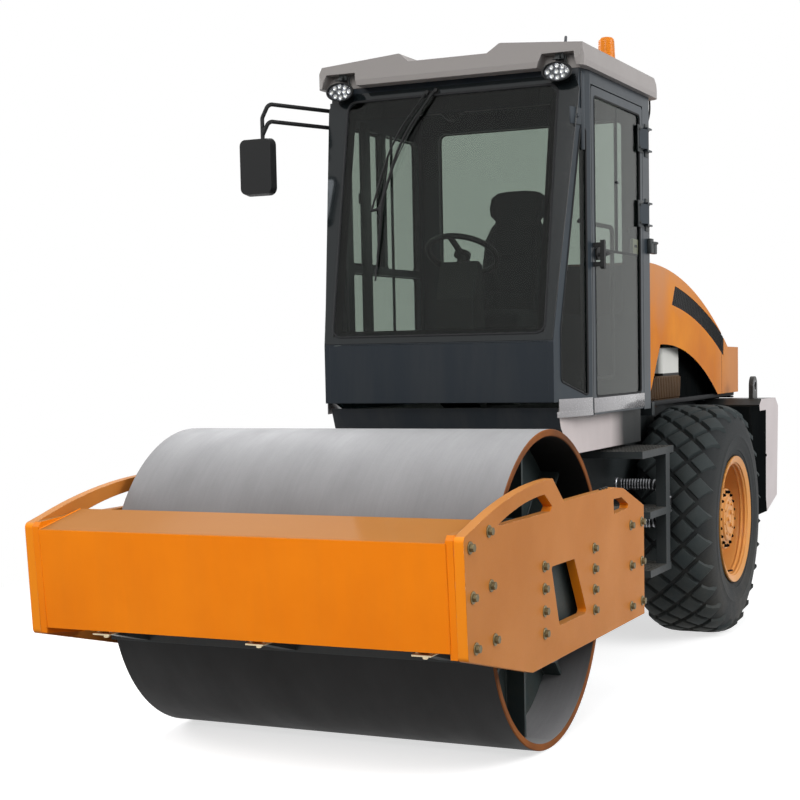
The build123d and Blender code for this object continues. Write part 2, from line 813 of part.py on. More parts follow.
for side, sign in sides:
    wheel_plane = Plane(
        (axle_x, sign * wheel_mid_y, tyre_radius), x_dir=(0, sign, 0), z_dir=(sign, 0, 0)
    )
    wheel_axis = Axis((axle_x, 0, tyre_radius), (0, 1, 0))
    with BuildPart() as tyre:
        with BuildSketch(wheel_plane):
            with BuildLine():
                Polyline(
                    *tyre_section,
                    *((-across_tyre, radius) for across_tyre, radius in reversed(tyre_section)),
                    close=True,
                )
            make_face()
        revolve(axis=wheel_axis)
        # Diamond tread: each row stands half a lug round from its neighbours.
        for row_number, row in enumerate(tread_rows):
            stagger = 0.5 if abs(row[0]) == tread_pitch else 0.0
            with BuildSketch(*lug_planes(sign * wheel_mid_y, row, (stagger + 0.5) * lug_turn)):
                with BuildLine():
                    Polyline(
                        (lug_half_round, 0),
                        (0, lug_half_across),
                        (-lug_half_round, 0),
                        (0, -lug_half_across),
                        close=True,
                    )
                make_face()
            extrude(amount=-row[3])
    keep(tyre, f"tyre_{side}")

    with BuildPart() as rim:
        with BuildSketch(wheel_plane):
            with BuildLine():
                Polyline(
                    (-tyre_half + 10, rim_radius),
                    (-tyre_half + 26, rim_radius),
                    (-tyre_half + 40, bead_radius - rest_gap),
                    (tyre_half - 40, bead_radius - rest_gap),
                    (tyre_half - 26, rim_radius),
                    (tyre_half - 10, rim_radius),
                    (tyre_half - 22, bead_radius - 14),
                    (tyre_half - 150, bead_radius - 40),
                    (disc_inner_y - wheel_mid_y + 60, 240),
                    (disc_inner_y - wheel_mid_y + 22, 225),
                    (disc_inner_y - wheel_mid_y + 22, 110),
                    (disc_inner_y - wheel_mid_y, 110),
                    (disc_inner_y - wheel_mid_y, 235),
                    (disc_inner_y - wheel_mid_y + 40, 252),
                    (tyre_half - 190, bead_radius - 40),
                    (-tyre_half + 22, bead_radius - 14),
                    close=True,
                )
            make_face()
        revolve(axis=wheel_axis)
    keep(rim, f"rim_{side}")

    with BuildPart() as hub:
        with BuildSketch(wheel_plane):
            with BuildLine():
                Polyline(
                    (axle_flange_y + axle_stub + 5 - wheel_mid_y, 0),
                    (axle_flange_y + axle_stub + 5 - wheel_mid_y, axle_stub_radius + pin_clearance),
                    (disc_inner_y - wheel_mid_y - 5, axle_stub_radius + pin_clearance),
                    (disc_inner_y - wheel_mid_y - 5, 109),
                    (disc_inner_y - wheel_mid_y + 22, 109),
                    (disc_inner_y - wheel_mid_y + 22, hub_radius),
                    (disc_inner_y - wheel_mid_y + 60, hub_radius),
                    (disc_inner_y - wheel_mid_y + 72, 185),
                    (tyre_half - 100, 175),
                    (tyre_half - 84, 150),
                    (tyre_half - 60, 138),
                    (tyre_half - 60, 0),
                    close=True,
                )
            make_face()
        revolve(axis=wheel_axis)
    keep(hub, f"hub_{side}")

# ================================================================ cab
# The shell is a prism with faceted front corners. Its front leans back above the panel.
corner_x = cab_front_x - cab_corner_length
screen_lean = screen_setback / (cab_top - screen_bottom)


def cab_outline(inset):
    """Half-width points of the cab's plan, moved in by a wall."""
    return (
        (cab_front_x - inset, cab_front_half_width - inset * 0.6),
        (corner_x, cab_half_width - inset),
        (cab_rear_x + inset, cab_half_width - inset),
        (cab_rear_x + inset, -cab_half_width + inset),
        (corner_x, -cab_half_width + inset),
        (cab_front_x - inset, -cab_front_half_width + inset * 0.6),
    )


def screen_cut(setback):
    """Points of the wedge in front of the windscreen's face, moved back by setback."""
    return (
        (cab_front_x - setback, screen_bottom),
        (cab_front_x - setback - screen_setback, cab_top),
        (cab_front_x - setback - screen_setback, cab_top + 50),
        (cab_front_x + 100, cab_top + 50),
        (cab_front_x + 100, screen_bottom),
    )


door_front_x = corner_x - 14
door_rear_x = cab_rear_x + door_rear_gap
door_top = cab_top - 67
hinge_x = door_rear_x - 14
hinge_y = cab_half_width + hinge_offset
door_knuckles = (2560.0, 2980.0)
knuckle_height = 110.0
door_pin_radius = 7.0
door_knuckle_radius = 12.0
door_opening = (
    (door_front_x, cab_floor - 20),
    (door_front_x, door_top),
    (door_rear_x, door_top),
    (door_rear_x, cab_floor - 20),
)
side_panes = (
    # rear x, front x, low z, high z of each pane in the right wall
    (cab_rear_x + 90, cab_rear_x + 545, 2290, 3060),
    (cab_rear_x + 585, corner_x - 70, 2290, 3060),
    (cab_rear_x + 90, corner_x - 70, 1876, 2250),
)
rear_pane = (-575.0, 575.0, 2000.0, 3110.0)
facet_angle = degrees(atan2(cab_half_width - cab_front_half_width, cab_corner_length))
facet_length = hypot(cab_half_width - cab_front_half_width, cab_corner_length)


def facet_plane(sign, out):
    """Plane a distance out from a front corner's facet: sketch x runs back, y is up."""
    along = Vector(-cos(radians(facet_angle)), sign * sin(radians(facet_angle)), 0)
    outward = Vector(sin(radians(facet_angle)), sign * cos(radians(facet_angle)), 0)
    corner = Vector(cab_front_x, sign * cab_front_half_width, 0)
    return Plane(corner + outward * out, x_dir=along, z_dir=outward * sign)


# Quarter window in the facet: back along the facet, height. It narrows with the screen's lean.
pane_border = 46.0
pane_front = 70.0
pane_top = cab_top - 300
quarter_pane = (
    (pane_front, 1640),
    (facet_length - pane_border, 1560),
    (facet_length - pane_border, pane_top),
    (pane_front + screen_lean * (pane_top - screen_bottom - 60) + 7, pane_top),
    (pane_front, screen_bottom + 60),
)


with BuildPart() as shell:
    with BuildSketch(Plane.XY.offset(cab_floor)):
        with BuildLine():
            Polyline(*cab_outline(0), close=True)
        make_face()
    extrude(amount=cab_top - cab_floor)
    with BuildSketch(Plane.XY.offset(cab_floor - 10)):
        with BuildLine():
            Polyline(*cab_outline(cab_wall), close=True)
        make_face()
    extrude(amount=cab_top - cab_floor + 20, mode=Mode.SUBTRACT)
    with BuildSketch(across(0)):
        with BuildLine():
            Polyline(*screen_cut(0), close=True)
        make_face()
        with BuildLine():
            Polyline(
                (cab_front_x + 10, cab_floor - 10),
                (cab_front_x + 10, cab_front_bottom),
                (cab_front_x - 60, cab_front_bottom),
                (corner_x, cab_floor),
                (corner_x, cab_floor - 10),
                close=True,
            )
        make_face()
    extrude(amount=cab_half_width + 50, both=True, mode=Mode.SUBTRACT)

# Floor pan inside the shell.
floor_thickness = 40.0
with BuildPart() as floor:
    with BuildSketch(Plane.XY.offset(cab_floor)):
        with BuildLine():
            Polyline(*cab_outline(cab_wall), close=True)
        make_face()
    extrude(amount=floor_thickness)
    with BuildSketch(across(0)):
        with BuildLine():
            Polyline(
                (cab_front_x + 10, cab_floor - 10),
                (cab_front_x + 10, cab_front_bottom),
                (cab_front_x - 60, cab_front_bottom),
                (corner_x, cab_floor),
                (corner_x, cab_floor - 10),
                close=True,
            )
        make_face()
    extrude(amount=cab_half_width + 50, both=True, mode=Mode.SUBTRACT)

# Windscreen wall: the leaning sheet that carries the glass, a frame round it.
with BuildPart() as screen_frame:
    with BuildSketch(Plane.XY.offset(screen_bottom)):
        with BuildLine():
            Polyline(*cab_outline(1), close=True)
        make_face()
    extrude(amount=cab_top - screen_bottom)
    with BuildSketch(across(0)):
        with BuildLine():
            Polyline(
                (cab_front_x, screen_bottom),
                (cab_front_x - screen_setback, cab_top),
                (cab_front_x - screen_setback - cab_wall, cab_top),
                (cab_front_x - cab_wall, screen_bottom),
                close=True,
            )
        make_face()
    extrude(amount=cab_half_width, both=True, mode=Mode.INTERSECT)

with BuildPart() as cab_frame:
    add(shell.part)
    add(screen_frame.part)
    add(floor.part)
    # front panel and windscreen apertures
    with BuildSketch(lengthwise(cab_front_x + 20)):
        with Locations((0, (screen_bottom + cab_top - 75) / 2 + 22)):
            Rectangle(2 * cab_front_half_width - 96, cab_top - 75 - screen_bottom - 44)
    extrude(amount=-(screen_setback + cab_wall + 80), mode=Mode.SUBTRACT)
    with BuildSketch(lengthwise(cab_front_x + 20)):
        with Locations((0, (cab_floor + screen_bottom) / 2)):
            Rectangle(2 * cab_front_half_width - 60, screen_bottom - cab_floor + 2)
    extrude(amount=-(cab_wall + 30), mode=Mode.SUBTRACT)
    # door opening in the left wall
    with BuildSketch(across(cab_half_width + 20)):
        with BuildLine():
            Polyline(*door_opening, close=True)
        make_face()
    extrude(amount=cab_wall + 40, mode=Mode.SUBTRACT)
    # panes in the right wall
    with BuildSketch(across(-cab_half_width + cab_wall + 10)):
        for rear, front, low, high in side_panes:
            with Locations(((rear + front) / 2, (low + high) / 2)):
                RectangleRounded(front - rear, high - low, 28)
    extrude(amount=cab_wall + 40, mode=Mode.SUBTRACT)
    # rear window
    with BuildSketch(lengthwise(cab_rear_x - 10)):
        with Locations((0, (rear_pane[2] + rear_pane[3]) / 2)):
            RectangleRounded(rear_pane[1] - rear_pane[0], rear_pane[3] - rear_pane[2], 40)
    extrude(amount=cab_wall + 30, mode=Mode.SUBTRACT)
    # quarter windows in the front corners
    for side, sign in sides:
        with BuildSketch(facet_plane(sign, 20)):
            with BuildLine():
                FilletPolyline(*quarter_pane, radius=12, close=True)
            make_face()
        extrude(amount=-sign * (cab_wall + 60), mode=Mode.SUBTRACT)
    # hinge pins on the rear pillar, each on its leaf
    for knuckle_z in door_knuckles:
        with BuildSketch(Plane.XY.offset(knuckle_z - knuckle_height / 2 - 12)):
            with Locations((hinge_x, hinge_y)):
                Circle(door_pin_radius)
        extrude(amount=knuckle_height + 24)
        for leaf_z in (knuckle_z - knuckle_height / 2 - 7, knuckle_z + knuckle_height / 2 + 7):
            with BuildSketch(Plane.XY.offset(leaf_z - 5)):
                with Locations((hinge_x - 30, (cab_half_width + hinge_y + 12) / 2 - 1)):
                    Rectangle(84, hinge_y + 12 - cab_half_width + 2)
            extrude(amount=10)
keep(cab_frame, "cab_frame")

with BuildPart() as front_panel:
    with BuildSketch(lengthwise(cab_front_x)):
        with Locations((0, (cab_front_bottom + screen_bottom) / 2)):
            Rectangle(2 * cab_front_half_width - 60, screen_bottom - cab_front_bottom)
    extrude(amount=-cab_wall)
keep(front_panel, "front_panel")

with BuildPart() as windscreen:
    with BuildSketch(across(0)):
        with BuildLine():
            Polyline(
                (cab_front_x - 30 * screen_lean, screen_bottom + 22 + 22),
                (cab_front_x - screen_lean * (cab_top - 75 - screen_bottom), cab_top - 75),
                (cab_front_x - screen_lean * (cab_top - 75 - screen_bottom) - glass_thickness, cab_top - 75),
                (cab_front_x - 30 * screen_lean - glass_thickness, screen_bottom + 22 + 22),
                close=True,
            )
        make_face()
    extrude(amount=cab_front_half_width - 48, both=True)
keep(windscreen, "windscreen")

with BuildPart() as side_glasses:
    for side, sign in sides:
        with BuildSketch(facet_plane(sign, -4)):
            with BuildLine():
                FilletPolyline(*quarter_pane, radius=12, close=True)
            make_face()
        extrude(amount=-sign * glass_thickness)
    with BuildSketch(across(-cab_half_width + 4 + glass_thickness)):
        for rear, front, low, high in side_panes:
            with Locations(((rear + front) / 2, (low + high) / 2)):
                RectangleRounded(front - rear, high - low, 28)
    extrude(amount=glass_thickness)
    with BuildSketch(lengthwise(cab_rear_x + 4)):
        with Locations((0, (rear_pane[2] + rear_pane[3]) / 2)):
            RectangleRounded(rear_pane[1] - rear_pane[0], rear_pane[3] - rear_pane[2], 40)
    extrude(amount=glass_thickness)
keep(side_glasses, "side_glasses")

# Base that carries the cab on the rear frame.
base_half_width = 650.0
base_front_x = cab_front_x - 60
base_bottom = 1255.0
base_knee = 1400.0            # where the base's front turns back under the cab
with BuildPart() as cab_base:
    with BuildSketch(across(0)):
        with BuildLine():
            Polyline(
                (base_front_x, cab_front_bottom - 30),
                (base_front_x - 40, base_knee),
                (base_front_x - 190, base_bottom),
                (cab_rear_x - 60, base_bottom),
                (cab_rear_x - 60, cab_floor),
                (corner_x, cab_floor),
                (base_front_x, cab_front_bottom - 30),
            )
        make_face()
    extrude(amount=base_half_width, both=True)
    with BuildSketch(Plane.XY.offset(nose_top)):
        with Locations(((nose_front_x + cab_back_x) / 2, 0)):
            Rectangle(nose_front_x - cab_back_x - 200, 2 * frame_half_width)
    extrude(amount=base_bottom - nose_top)
keep(cab_base, "cab_base")

# Roof: a moulded lid with a low channel between two shoulders, and a raked front and rear.
roof_front_x = cab_front_x - screen_setback + 93
roof_rear_x = cab_rear_x - 112
roof_half_width = cab_half_width + roof_side_overhang
roof_rake = 62.0              # the top lies this far behind the lower front edge
roof_lip = 30.0               # upright part of the roof's edge
shoulder_inner = 225.0
shoulder_slope = 62.0         # run of each shoulder's flank down to the channel
roof_side_draft = 18.0
roof_corner = 60.0
lamp_y = 620.0
recess_height = 72.0
recess_depth = 90.0
recess_width = 250.0
roof_half_section = (
    (shoulder_inner, cab_top + roof_height),
    (shoulder_inner + shoulder_slope, cab_top + roof_crest_height),
    (roof_half_width - roof_side_draft, cab_top + roof_rim_height),
    (roof_half_width, cab_top + roof_lip),
    (roof_half_width, cab_top),
)
with BuildPart() as roof:
    with BuildSketch(lengthwise(roof_rear_x)):
        with BuildLine():
            Polyline(
                *roof_half_section,
                *((-half_y, height) for half_y, height in reversed(roof_half_section)),
                close=True,
            )
        make_face()
    extrude(amount=roof_front_x - roof_rear_x)
    fillet(roof.edges().filter_by(Axis.X).group_by(Axis.Z)[-1], 20)
    # The raked ends, cut from the side.
    with BuildSketch(across(0)):
        with BuildLine():
            Polyline(
                (roof_rear_x, cab_top),
                (roof_front_x, cab_top),
                (roof_front_x, cab_top + roof_lip),
                (roof_front_x - roof_rake, cab_top + roof_crest_height + 1),
                (roof_rear_x + roof_rake, cab_top + roof_crest_height + 1),
                (roof_rear_x, cab_top + roof_lip),
                close=True,
            )
        make_face()
    extrude(amount=roof_half_width, both=True, mode=Mode.INTERSECT)
    # The rounded corners, cut from above.
    with BuildSketch(Plane.XY.offset(cab_top)):
        with Locations(((roof_front_x + roof_rear_x) / 2, 0)):
            RectangleRounded(roof_front_x - roof_rear_x, 2 * roof_half_width, roof_corner)
    extrude(amount=roof_crest_height + 1, mode=Mode.INTERSECT)
    for side, sign in sides:
        with BuildSketch(lengthwise(roof_front_x + 1)):
            with Locations((sign * lamp_y, cab_top)):
                Trapezoid(recess_width, 2 * recess_height, 75)
        extrude(amount=-recess_depth, mode=Mode.SUBTRACT)
keep(roof, "roof")

# Work lamps under the roof's front corners.
lamp_z = cab_top - 26
lamp_x = roof_front_x
lamp_width = 160.0
lamp_height = 96.0
with BuildPart() as work_lamps:
    for side, sign in sides:
        with BuildSketch(lengthwise(lamp_x)):
            with Locations((sign * lamp_y, lamp_z)):
                Ellipse(lamp_width / 2, lamp_height / 2)
        with BuildSketch(lengthwise(lamp_x - 60)):
            with Locations((sign * lamp_y, lamp_z)):
                Ellipse(lamp_width / 2 - 34, lamp_height / 2 - 20)
        loft()
        with BuildSketch(lengthwise(lamp_x - 60)):
            with BuildLine():
                Polyline(
                    (sign * (lamp_y - 24), lamp_z),
                    (sign * (lamp_y - 34), cab_top + recess_height),
                    (sign * (lamp_y + 34), cab_top + recess_height),
                    (sign * (lamp_y + 24), lamp_z),
                    close=True,
                )
            make_face()
        extrude(amount=30)
keep(work_lamps, "work_lamps")

beacon_y = roof_half_width - 163
beacon_x = cab_rear_x + 363
beacon_radius = 50.0
beacon_top = cab_top + 293
crest_y = shoulder_inner + shoulder_slope
roof_fall = (roof_crest_height - roof_rim_height) / (roof_half_width - roof_side_draft - crest_y)
beacon_foot = cab_top + roof_crest_height - roof_fall * (beacon_y - crest_y)
foot_radius = beacon_radius + 8
foot_height = 20.0
dome_taper = 6.0
dome_bevel = 10.0
with BuildPart() as beacon:
    # The foot is cut to the roof's fall, so it seats all round.
    with BuildSketch(lengthwise(beacon_x)):
        with BuildLine():
            Polyline(
                (beacon_y - foot_radius, beacon_foot + roof_fall * foot_radius),
                (beacon_y - foot_radius, beacon_foot + foot_height),
                (beacon_y + foot_radius, beacon_foot + foot_height),
                (beacon_y + foot_radius, beacon_foot - roof_fall * foot_radius),
                close=True,
            )
        make_face()
    extrude(amount=foot_radius, both=True)
    with BuildSketch(Plane.XY.offset(beacon_foot - foot_height)):
        with Locations((beacon_x, beacon_y)):
            Circle(foot_radius)
    extrude(amount=2 * foot_height, mode=Mode.INTERSECT)
    # Dome: tapered, with a bevelled crown.
    with BuildSketch(across(beacon_y)):
        with BuildLine():
            Polyline(
                (beacon_x, beacon_foot + foot_height),
                (beacon_x + beacon_radius, beacon_foot + foot_height),
                (beacon_x + beacon_radius - dome_taper, beacon_top - dome_bevel),
                (beacon_x + beacon_radius - dome_taper - dome_bevel, beacon_top),
                (beacon_x, beacon_top),
                close=True,
            )
        make_face()
    revolve(axis=Axis((beacon_x, beacon_y, 0), (0, 0, 1)))
keep(beacon, "beacon")

# Mirror on the right, carried forward on two bent tubes from the front pillar.
mirror_x = cab_front_x + 176
mirror_y = -930.0
mirror_z = cab_top - 439
mirror_width = 200.0
mirror_height = 300.0
mirror_tube = 11.0
tube_x = mirror_x - 60
bracket_z = cab_top - 151
bracket_back = 307.0          # along the corner's facet, back from the front
bracket_thickness = 14.0
bracket_plane = facet_plane(-1, bracket_thickness)
with BuildPart() as mirror:
    with BuildSketch(lengthwise(mirror_x - 25)):
        with Locations((mirror_y, mirror_z)):
            RectangleRounded(mirror_width, mirror_height, 40)
    extrude(amount=50, taper=8)
    with BuildSketch(bracket_plane):
        with Locations((bracket_back, bracket_z)):
            RectangleRounded(60, 170, 12)
    extrude(amount=bracket_thickness)
    for tube_z, tube_end_z in ((bracket_z + 45, mirror_z - 60), (bracket_z - 45, mirror_z + 60)):
        with BuildLine() as arm_path:
            FilletPolyline(
                bracket_plane.from_local_coords((bracket_back, tube_z, 4)),
                (tube_x, mirror_y + 40, tube_z),
                (tube_x, mirror_y, tube_z - 70),
                (tube_x, mirror_y, tube_end_z),
                radius=30,
            )
        with BuildSketch(Plane(arm_path.line @ 0, z_dir=arm_path.line % 0)):
            Circle(mirror_tube)
        sweep(path=arm_path.line)
    with BuildSketch(lengthwise(mirror_x - 72)):
        with Locations((mirror_y, mirror_z)):
            RectangleRounded(60, 150, 8)
    extrude(amount=48)
keep(mirror, "mirror")

# Seat and controls.
seat_x = cab_rear_x + 560     # middle of the seat's base
seat_z = 1900.0               # underside of the cushion
seat_foot_length = 420.0
seat_foot_width = 400.0
seat_head_size = 360.0
cushion_size = 500.0
cushion_thickness = 130.0
cushion_lead = 20.0           # the cushion's middle ahead of the base's
back_half_width = 230.0
back_height = 650.0
headrest_half_width = 135.0
headrest_height = 200.0
with BuildPart() as seat_base:
    with BuildSketch(Plane.XY.offset(cab_floor + floor_thickness)):
        with Locations((seat_x, 0)):
            RectangleRounded(seat_foot_length, seat_foot_width, 40)
    with BuildSketch(Plane.XY.offset(seat_z - rest_gap)):
        with Locations((seat_x, 0)):
            RectangleRounded(seat_head_size, seat_head_size, 40)
    loft()
keep(seat_base, "seat_base")

with BuildPart() as seat_cushion:
    with BuildSketch(Plane.XY.offset(seat_z)):
        with Locations((seat_x + cushion_lead, 0)):
            RectangleRounded(cushion_size, cushion_size, 70)
    extrude(amount=cushion_thickness)
    fillet(seat_cushion.edges().group_by(Axis.Z)[-1], 40)
keep(seat_cushion, "seat_cushion")

back_x = seat_x + cushion_lead - cushion_size / 2 - 20 - rest_gap
with BuildPart() as seat_back:
    with BuildSketch(across(0)):
        with BuildLine():
            Polyline(
                (back_x + 20, seat_z + 20),
                (back_x + 20, seat_z + 150),
                (back_x - 70, seat_z + back_height),
                (back_x - 180, seat_z + back_height),
                (back_x - 110, seat_z + 20),
                close=True,
            )
        make_face()
    extrude(amount=back_half_width, both=True)
    fillet(seat_back.edges().filter_by(Axis.Y), 35)
    with BuildSketch(across(0)):
        with BuildLine():
            Polyline(
                (back_x - 80, seat_z + back_height - 10),
                (back_x - 96, seat_z + back_height + headrest_height),
                (back_x - 186, seat_z + back_height + headrest_height),
                (back_x - 170, seat_z + back_height - 10),
                close=True,
            )
        make_face()
    extrude(amount=headrest_half_width, both=True)
keep(seat_back, "seat_back")

column_x = cab_front_x - 330
wheel_z = 2340.0
wheel_tilt = 28.0
steer_plane = Plane(
    (column_x - 52, 0, wheel_z - 20),
    x_dir=(cos(radians(wheel_tilt)), 0, sin(radians(wheel_tilt))),
    z_dir=(-sin(radians(wheel_tilt)), 0, cos(radians(wheel_tilt))),
)
rim_section = Plane(steer_plane.origin, x_dir=steer_plane.x_dir, z_dir=(0, -1, 0))
with BuildPart() as steering_column:
    with BuildSketch(across(0)):
        with BuildLine():
            Polyline(
                (column_x + 60, cab_front_bottom),
                (column_x + 60, wheel_z - 260),
                (column_x - 10, wheel_z - 60),
                (column_x - 60, wheel_z - 80),
                (column_x - 90, wheel_z - 320),
                (column_x - 90, cab_floor + floor_thickness),
                (corner_x + 10, cab_floor + floor_thickness),
                close=True,
            )
        make_face()
    extrude(amount=110, both=True)
    # Steering wheel on its tilted shaft.
    with BuildSketch(rim_section):
        with Locations((190, 0)):
            RegularPolygon(radius=16, side_count=8)
    revolve(axis=Axis(steer_plane.origin, steer_plane.z_dir))
    with BuildSketch(steer_plane.offset(-12)):
        Circle(45)
        Rectangle(380, 26)
    extrude(amount=20)
    with BuildSketch(steer_plane.offset(-70)):
        Circle(22)
    extrude(amount=60)
keep(steering_column, "steering_column")

# ================================================================ door
door_low = cab_floor + door_gap
door_high = door_top - door_gap
door_front = door_front_x - door_gap
door_rear = door_rear_x + door_gap
door_mid_z = (door_low + door_high) / 2

with BuildPart() as door:
    with BuildSketch(across(cab_half_width)):
        with Locations(((door_front + door_rear) / 2, door_mid_z)):
            RectangleRounded(door_front - door_rear, door_high - door_low, 24)
    extrude(amount=cab_wall - 10)
    with BuildSketch(across(cab_half_width + 5)):
        with Locations(((door_front + door_rear) / 2, door_mid_z + 22)):
            RectangleRounded(
                door_front - door_rear - 2 * door_frame,
                door_high - door_low - 2 * door_frame - 44,
                24,
            )
    extrude(amount=cab_wall + 10, mode=Mode.SUBTRACT)
    # Knuckles, each on a strap from the door's face.
    for knuckle_z in door_knuckles:
        with BuildSketch(Plane.XY.offset(knuckle_z - knuckle_height / 2)):
            with Locations((hinge_x, hinge_y)):
                Circle(door_knuckle_radius)
            with BuildLine():
                Polyline(
                    (hinge_x, hinge_y + door_knuckle_radius),
                    (door_rear + 70, cab_half_width + 8),
                    (door_rear + 70, cab_half_width - 2),
                    (door_rear + 2, cab_half_width - 2),
                    (hinge_x + 4, hinge_y - door_knuckle_radius + 2),
                    close=True,
                )
            make_face()
            with Locations((hinge_x, hinge_y)):
                Circle(door_pin_radius + pin_clearance, mode=Mode.SUBTRACT)
        extrude(amount=knuckle_height)
keep(door, "door")

with BuildPart() as door_glass:
    with BuildSketch(across(cab_half_width - 8)):
        with Locations(((door_front + door_rear) / 2, door_mid_z + 22)):
            RectangleRounded(
                door_front - door_rear - 2 * door_frame,
                door_high - door_low - 2 * door_frame - 44,
                24,
            )
    extrude(amount=glass_thickness)
keep(door_glass, "door_glass")

rail_radius = 12.0
rail_y = cab_half_width - cab_wall - 45
rail_high = 2470.0
rail_low = 1640.0
rail_back = door_rear + 300   # the rail's upright leg
grip_inset = 24.0             # rail's ends and handle, back from the door's front edge
handle_z = 2290.0
handle_length = 150.0
handle_width = 30.0
handle_standoff = 38.0        # door's face to the back of the handle
handle_post = 24.0
with BuildPart() as door_grips:
    with BuildLine() as rail_path:
        FilletPolyline(
            (door_front - grip_inset, cab_half_width - cab_wall + 10, rail_high),
            (door_front - grip_inset, rail_y, rail_high),
            (rail_back, rail_y, rail_high),
            (rail_back, rail_y, rail_low),
            (door_front - grip_inset, rail_y, rail_low),
            (door_front - grip_inset, cab_half_width - cab_wall + 10, rail_low),
            radius=30,
        )
    with BuildSketch(Plane(rail_path.line @ 0, z_dir=rail_path.line % 0)):
        Circle(rail_radius)
    sweep(path=rail_path.line)
    with BuildSketch(across(cab_half_width + handle_standoff + 22)):
        with Locations((door_front - grip_inset, handle_z)):
            RectangleRounded(handle_width, handle_length, 12)
    extrude(amount=22)
    with BuildSketch(across(cab_half_width + handle_standoff)):
        with Locations((door_front - grip_inset, handle_z)):
            with GridLocations(0, handle_length - 50, 1, 2):
                Rectangle(handle_post, handle_post)
    extrude(amount=handle_standoff)
keep(door_grips, "door_grips")

# ================================================================ steps and tanks
deck_z = 1195.0
deck_thickness = 40.0
deck_outer = 860.0
step_bottom = 560.0
step_front_x = pivot_x - 385  # clear of the front unit's corner at full lock
step_length = 415.0
step_rear_x = step_front_x - step_length
with BuildPart() as steps:
    with BuildSketch(Plane.XY.offset(deck_z)):
        with Locations(((step_front_x + step_rear_x) / 2 + 40, (frame_half_width + deck_outer) / 2)):
            Rectangle(step_length + 200, deck_outer - frame_half_width)
    extrude(amount=deck_thickness)
    with BuildSketch(Plane.XY.offset(step_bottom)):
        with Locations((step_rear_x + 60, deck_outer - 30)):
            Rectangle(80, 60)
    extrude(amount=deck_z - step_bottom)
    for tread_z in (520, 850):
        with BuildSketch(Plane.XY.offset(tread_z)):
            with Locations(((step_front_x + step_rear_x) / 2, (frame_half_width + deck_outer) / 2)):
                Rectangle(step_length, deck_outer - frame_half_width)
        extrude(amount=40)
keep(steps, "steps")

with BuildPart() as side_tank:
    with BuildSketch(across(-frame_half_width)):
        with Locations(((step_front_x + step_rear_x) / 2, (deck_z + step_bottom) / 2)):
            RectangleRounded(step_length, deck_z - step_bottom, 50)
    extrude(amount=deck_outer - frame_half_width)
keep(side_tank, "side_tank")

# ================================================================ hood
hood_front_x = cab_rear_x - 122
hood_top_front = 2306.0
hood_top_middle = (1020, 2185)    # behind the hood's front edge, z
hood_tail = (2000, 1800)
hood_shoulder = 40.0              # radius of the edges along the top
# Wheel arch in each side, and the long grille above it.
hood_arch = ((1718, hood_bottom), (1130, 1718), (328, 1820))
hood_arch_front = ((165, 1600), (60, hood_bottom))
grille_upper = ((662, 2183), (1300, 2057), (1885, 1868))
grille_lower = ((1882, 1735), (1200, 1963), (587, 2064))
grille_depth = 6.0
# Louvred grille on the hood's tail.
tail_grille_half = 450.0
tail_grille_low = hood_bottom + 80
tail_grille_height = 210.0
tail_grille_frame = 22.0
tail_slats = 7
tail_slat_depth = 16.0
tail_slat_thickness = 9.0


def behind(point):
    """A hood point in the row frame, from its distance behind the hood's front edge."""
    return (hood_front_x - point[0], point[1])


def hood_side(drop, wall):
    """Closed outline of the hood's side, moved in by drop at the top and wall at the tail."""
    top = ThreePointArc(
        (hood_front_x, hood_top_front - drop),
        (hood_front_x - hood_top_middle[0], hood_top_middle[1] - drop),
        (hood_front_x - hood_tail[0], hood_tail[1] - drop),
    )
    Polyline(
        top @ 1,
        (hood_rear_x + wall, hood_tail[1] - 5 - drop),
        (hood_rear_x + wall, hood_bottom),
        (hood_front_x, hood_bottom),
        top @ 0,
    )


with BuildPart() as hood:
    with BuildSketch(across(0)):
        with BuildLine():
            hood_side(0, 0)
        make_face()
    extrude(amount=hood_half_width, both=True)
    with BuildSketch(across(0)):
        with BuildLine():
            hood_side(hood_wall, hood_wall)
        make_face()
    extrude(amount=hood_half_width - hood_wall, both=True, mode=Mode.SUBTRACT)
    with BuildSketch(across(0)):
        with BuildLine():
            arch = ThreePointArc(*(behind(point) for point in hood_arch))
            Polyline(arch @ 1, *(behind(point) for point in hood_arch_front), arch @ 0)
        make_face()
        with BuildLine():
            upper = ThreePointArc(*(behind(point) for point in grille_upper))
            lower = ThreePointArc(*(behind(point) for point in grille_lower))
            Line(upper @ 1, lower @ 0)
            Line(lower @ 1, upper @ 0)
        make_face()
    extrude(amount=hood_half_width + 10, both=True, mode=Mode.SUBTRACT)
    # Knuckles of the hinge, on straps from the tail.
    for hinge_side in hood_hinge_ys:
        with BuildSketch(across(hinge_side)):
            with BuildLine():
                Polyline(
                    (hood_hinge_x, hood_hinge_z - knuckle_radius),
                    (hood_rear_x + 4, hood_bottom),
                    (hood_rear_x + 4, hood_bottom + 60),
                    (hood_rear_x - 6, hood_bottom + 60),
                    (hood_hinge_x - knuckle_radius, hood_hinge_z),
                    close=True,
                )
            make_face()
            with Locations((hood_hinge_x, hood_hinge_z)):
                Circle(knuckle_radius)
        extrude(amount=knuckle_length / 2, both=True)
        with BuildSketch(across(hinge_side)):
            with Locations((hood_hinge_x, hood_hinge_z)):
                Circle(hood_pin_radius + pin_clearance)
        extrude(amount=knuckle_length, both=True, mode=Mode.SUBTRACT)
keep(hood, "hood")

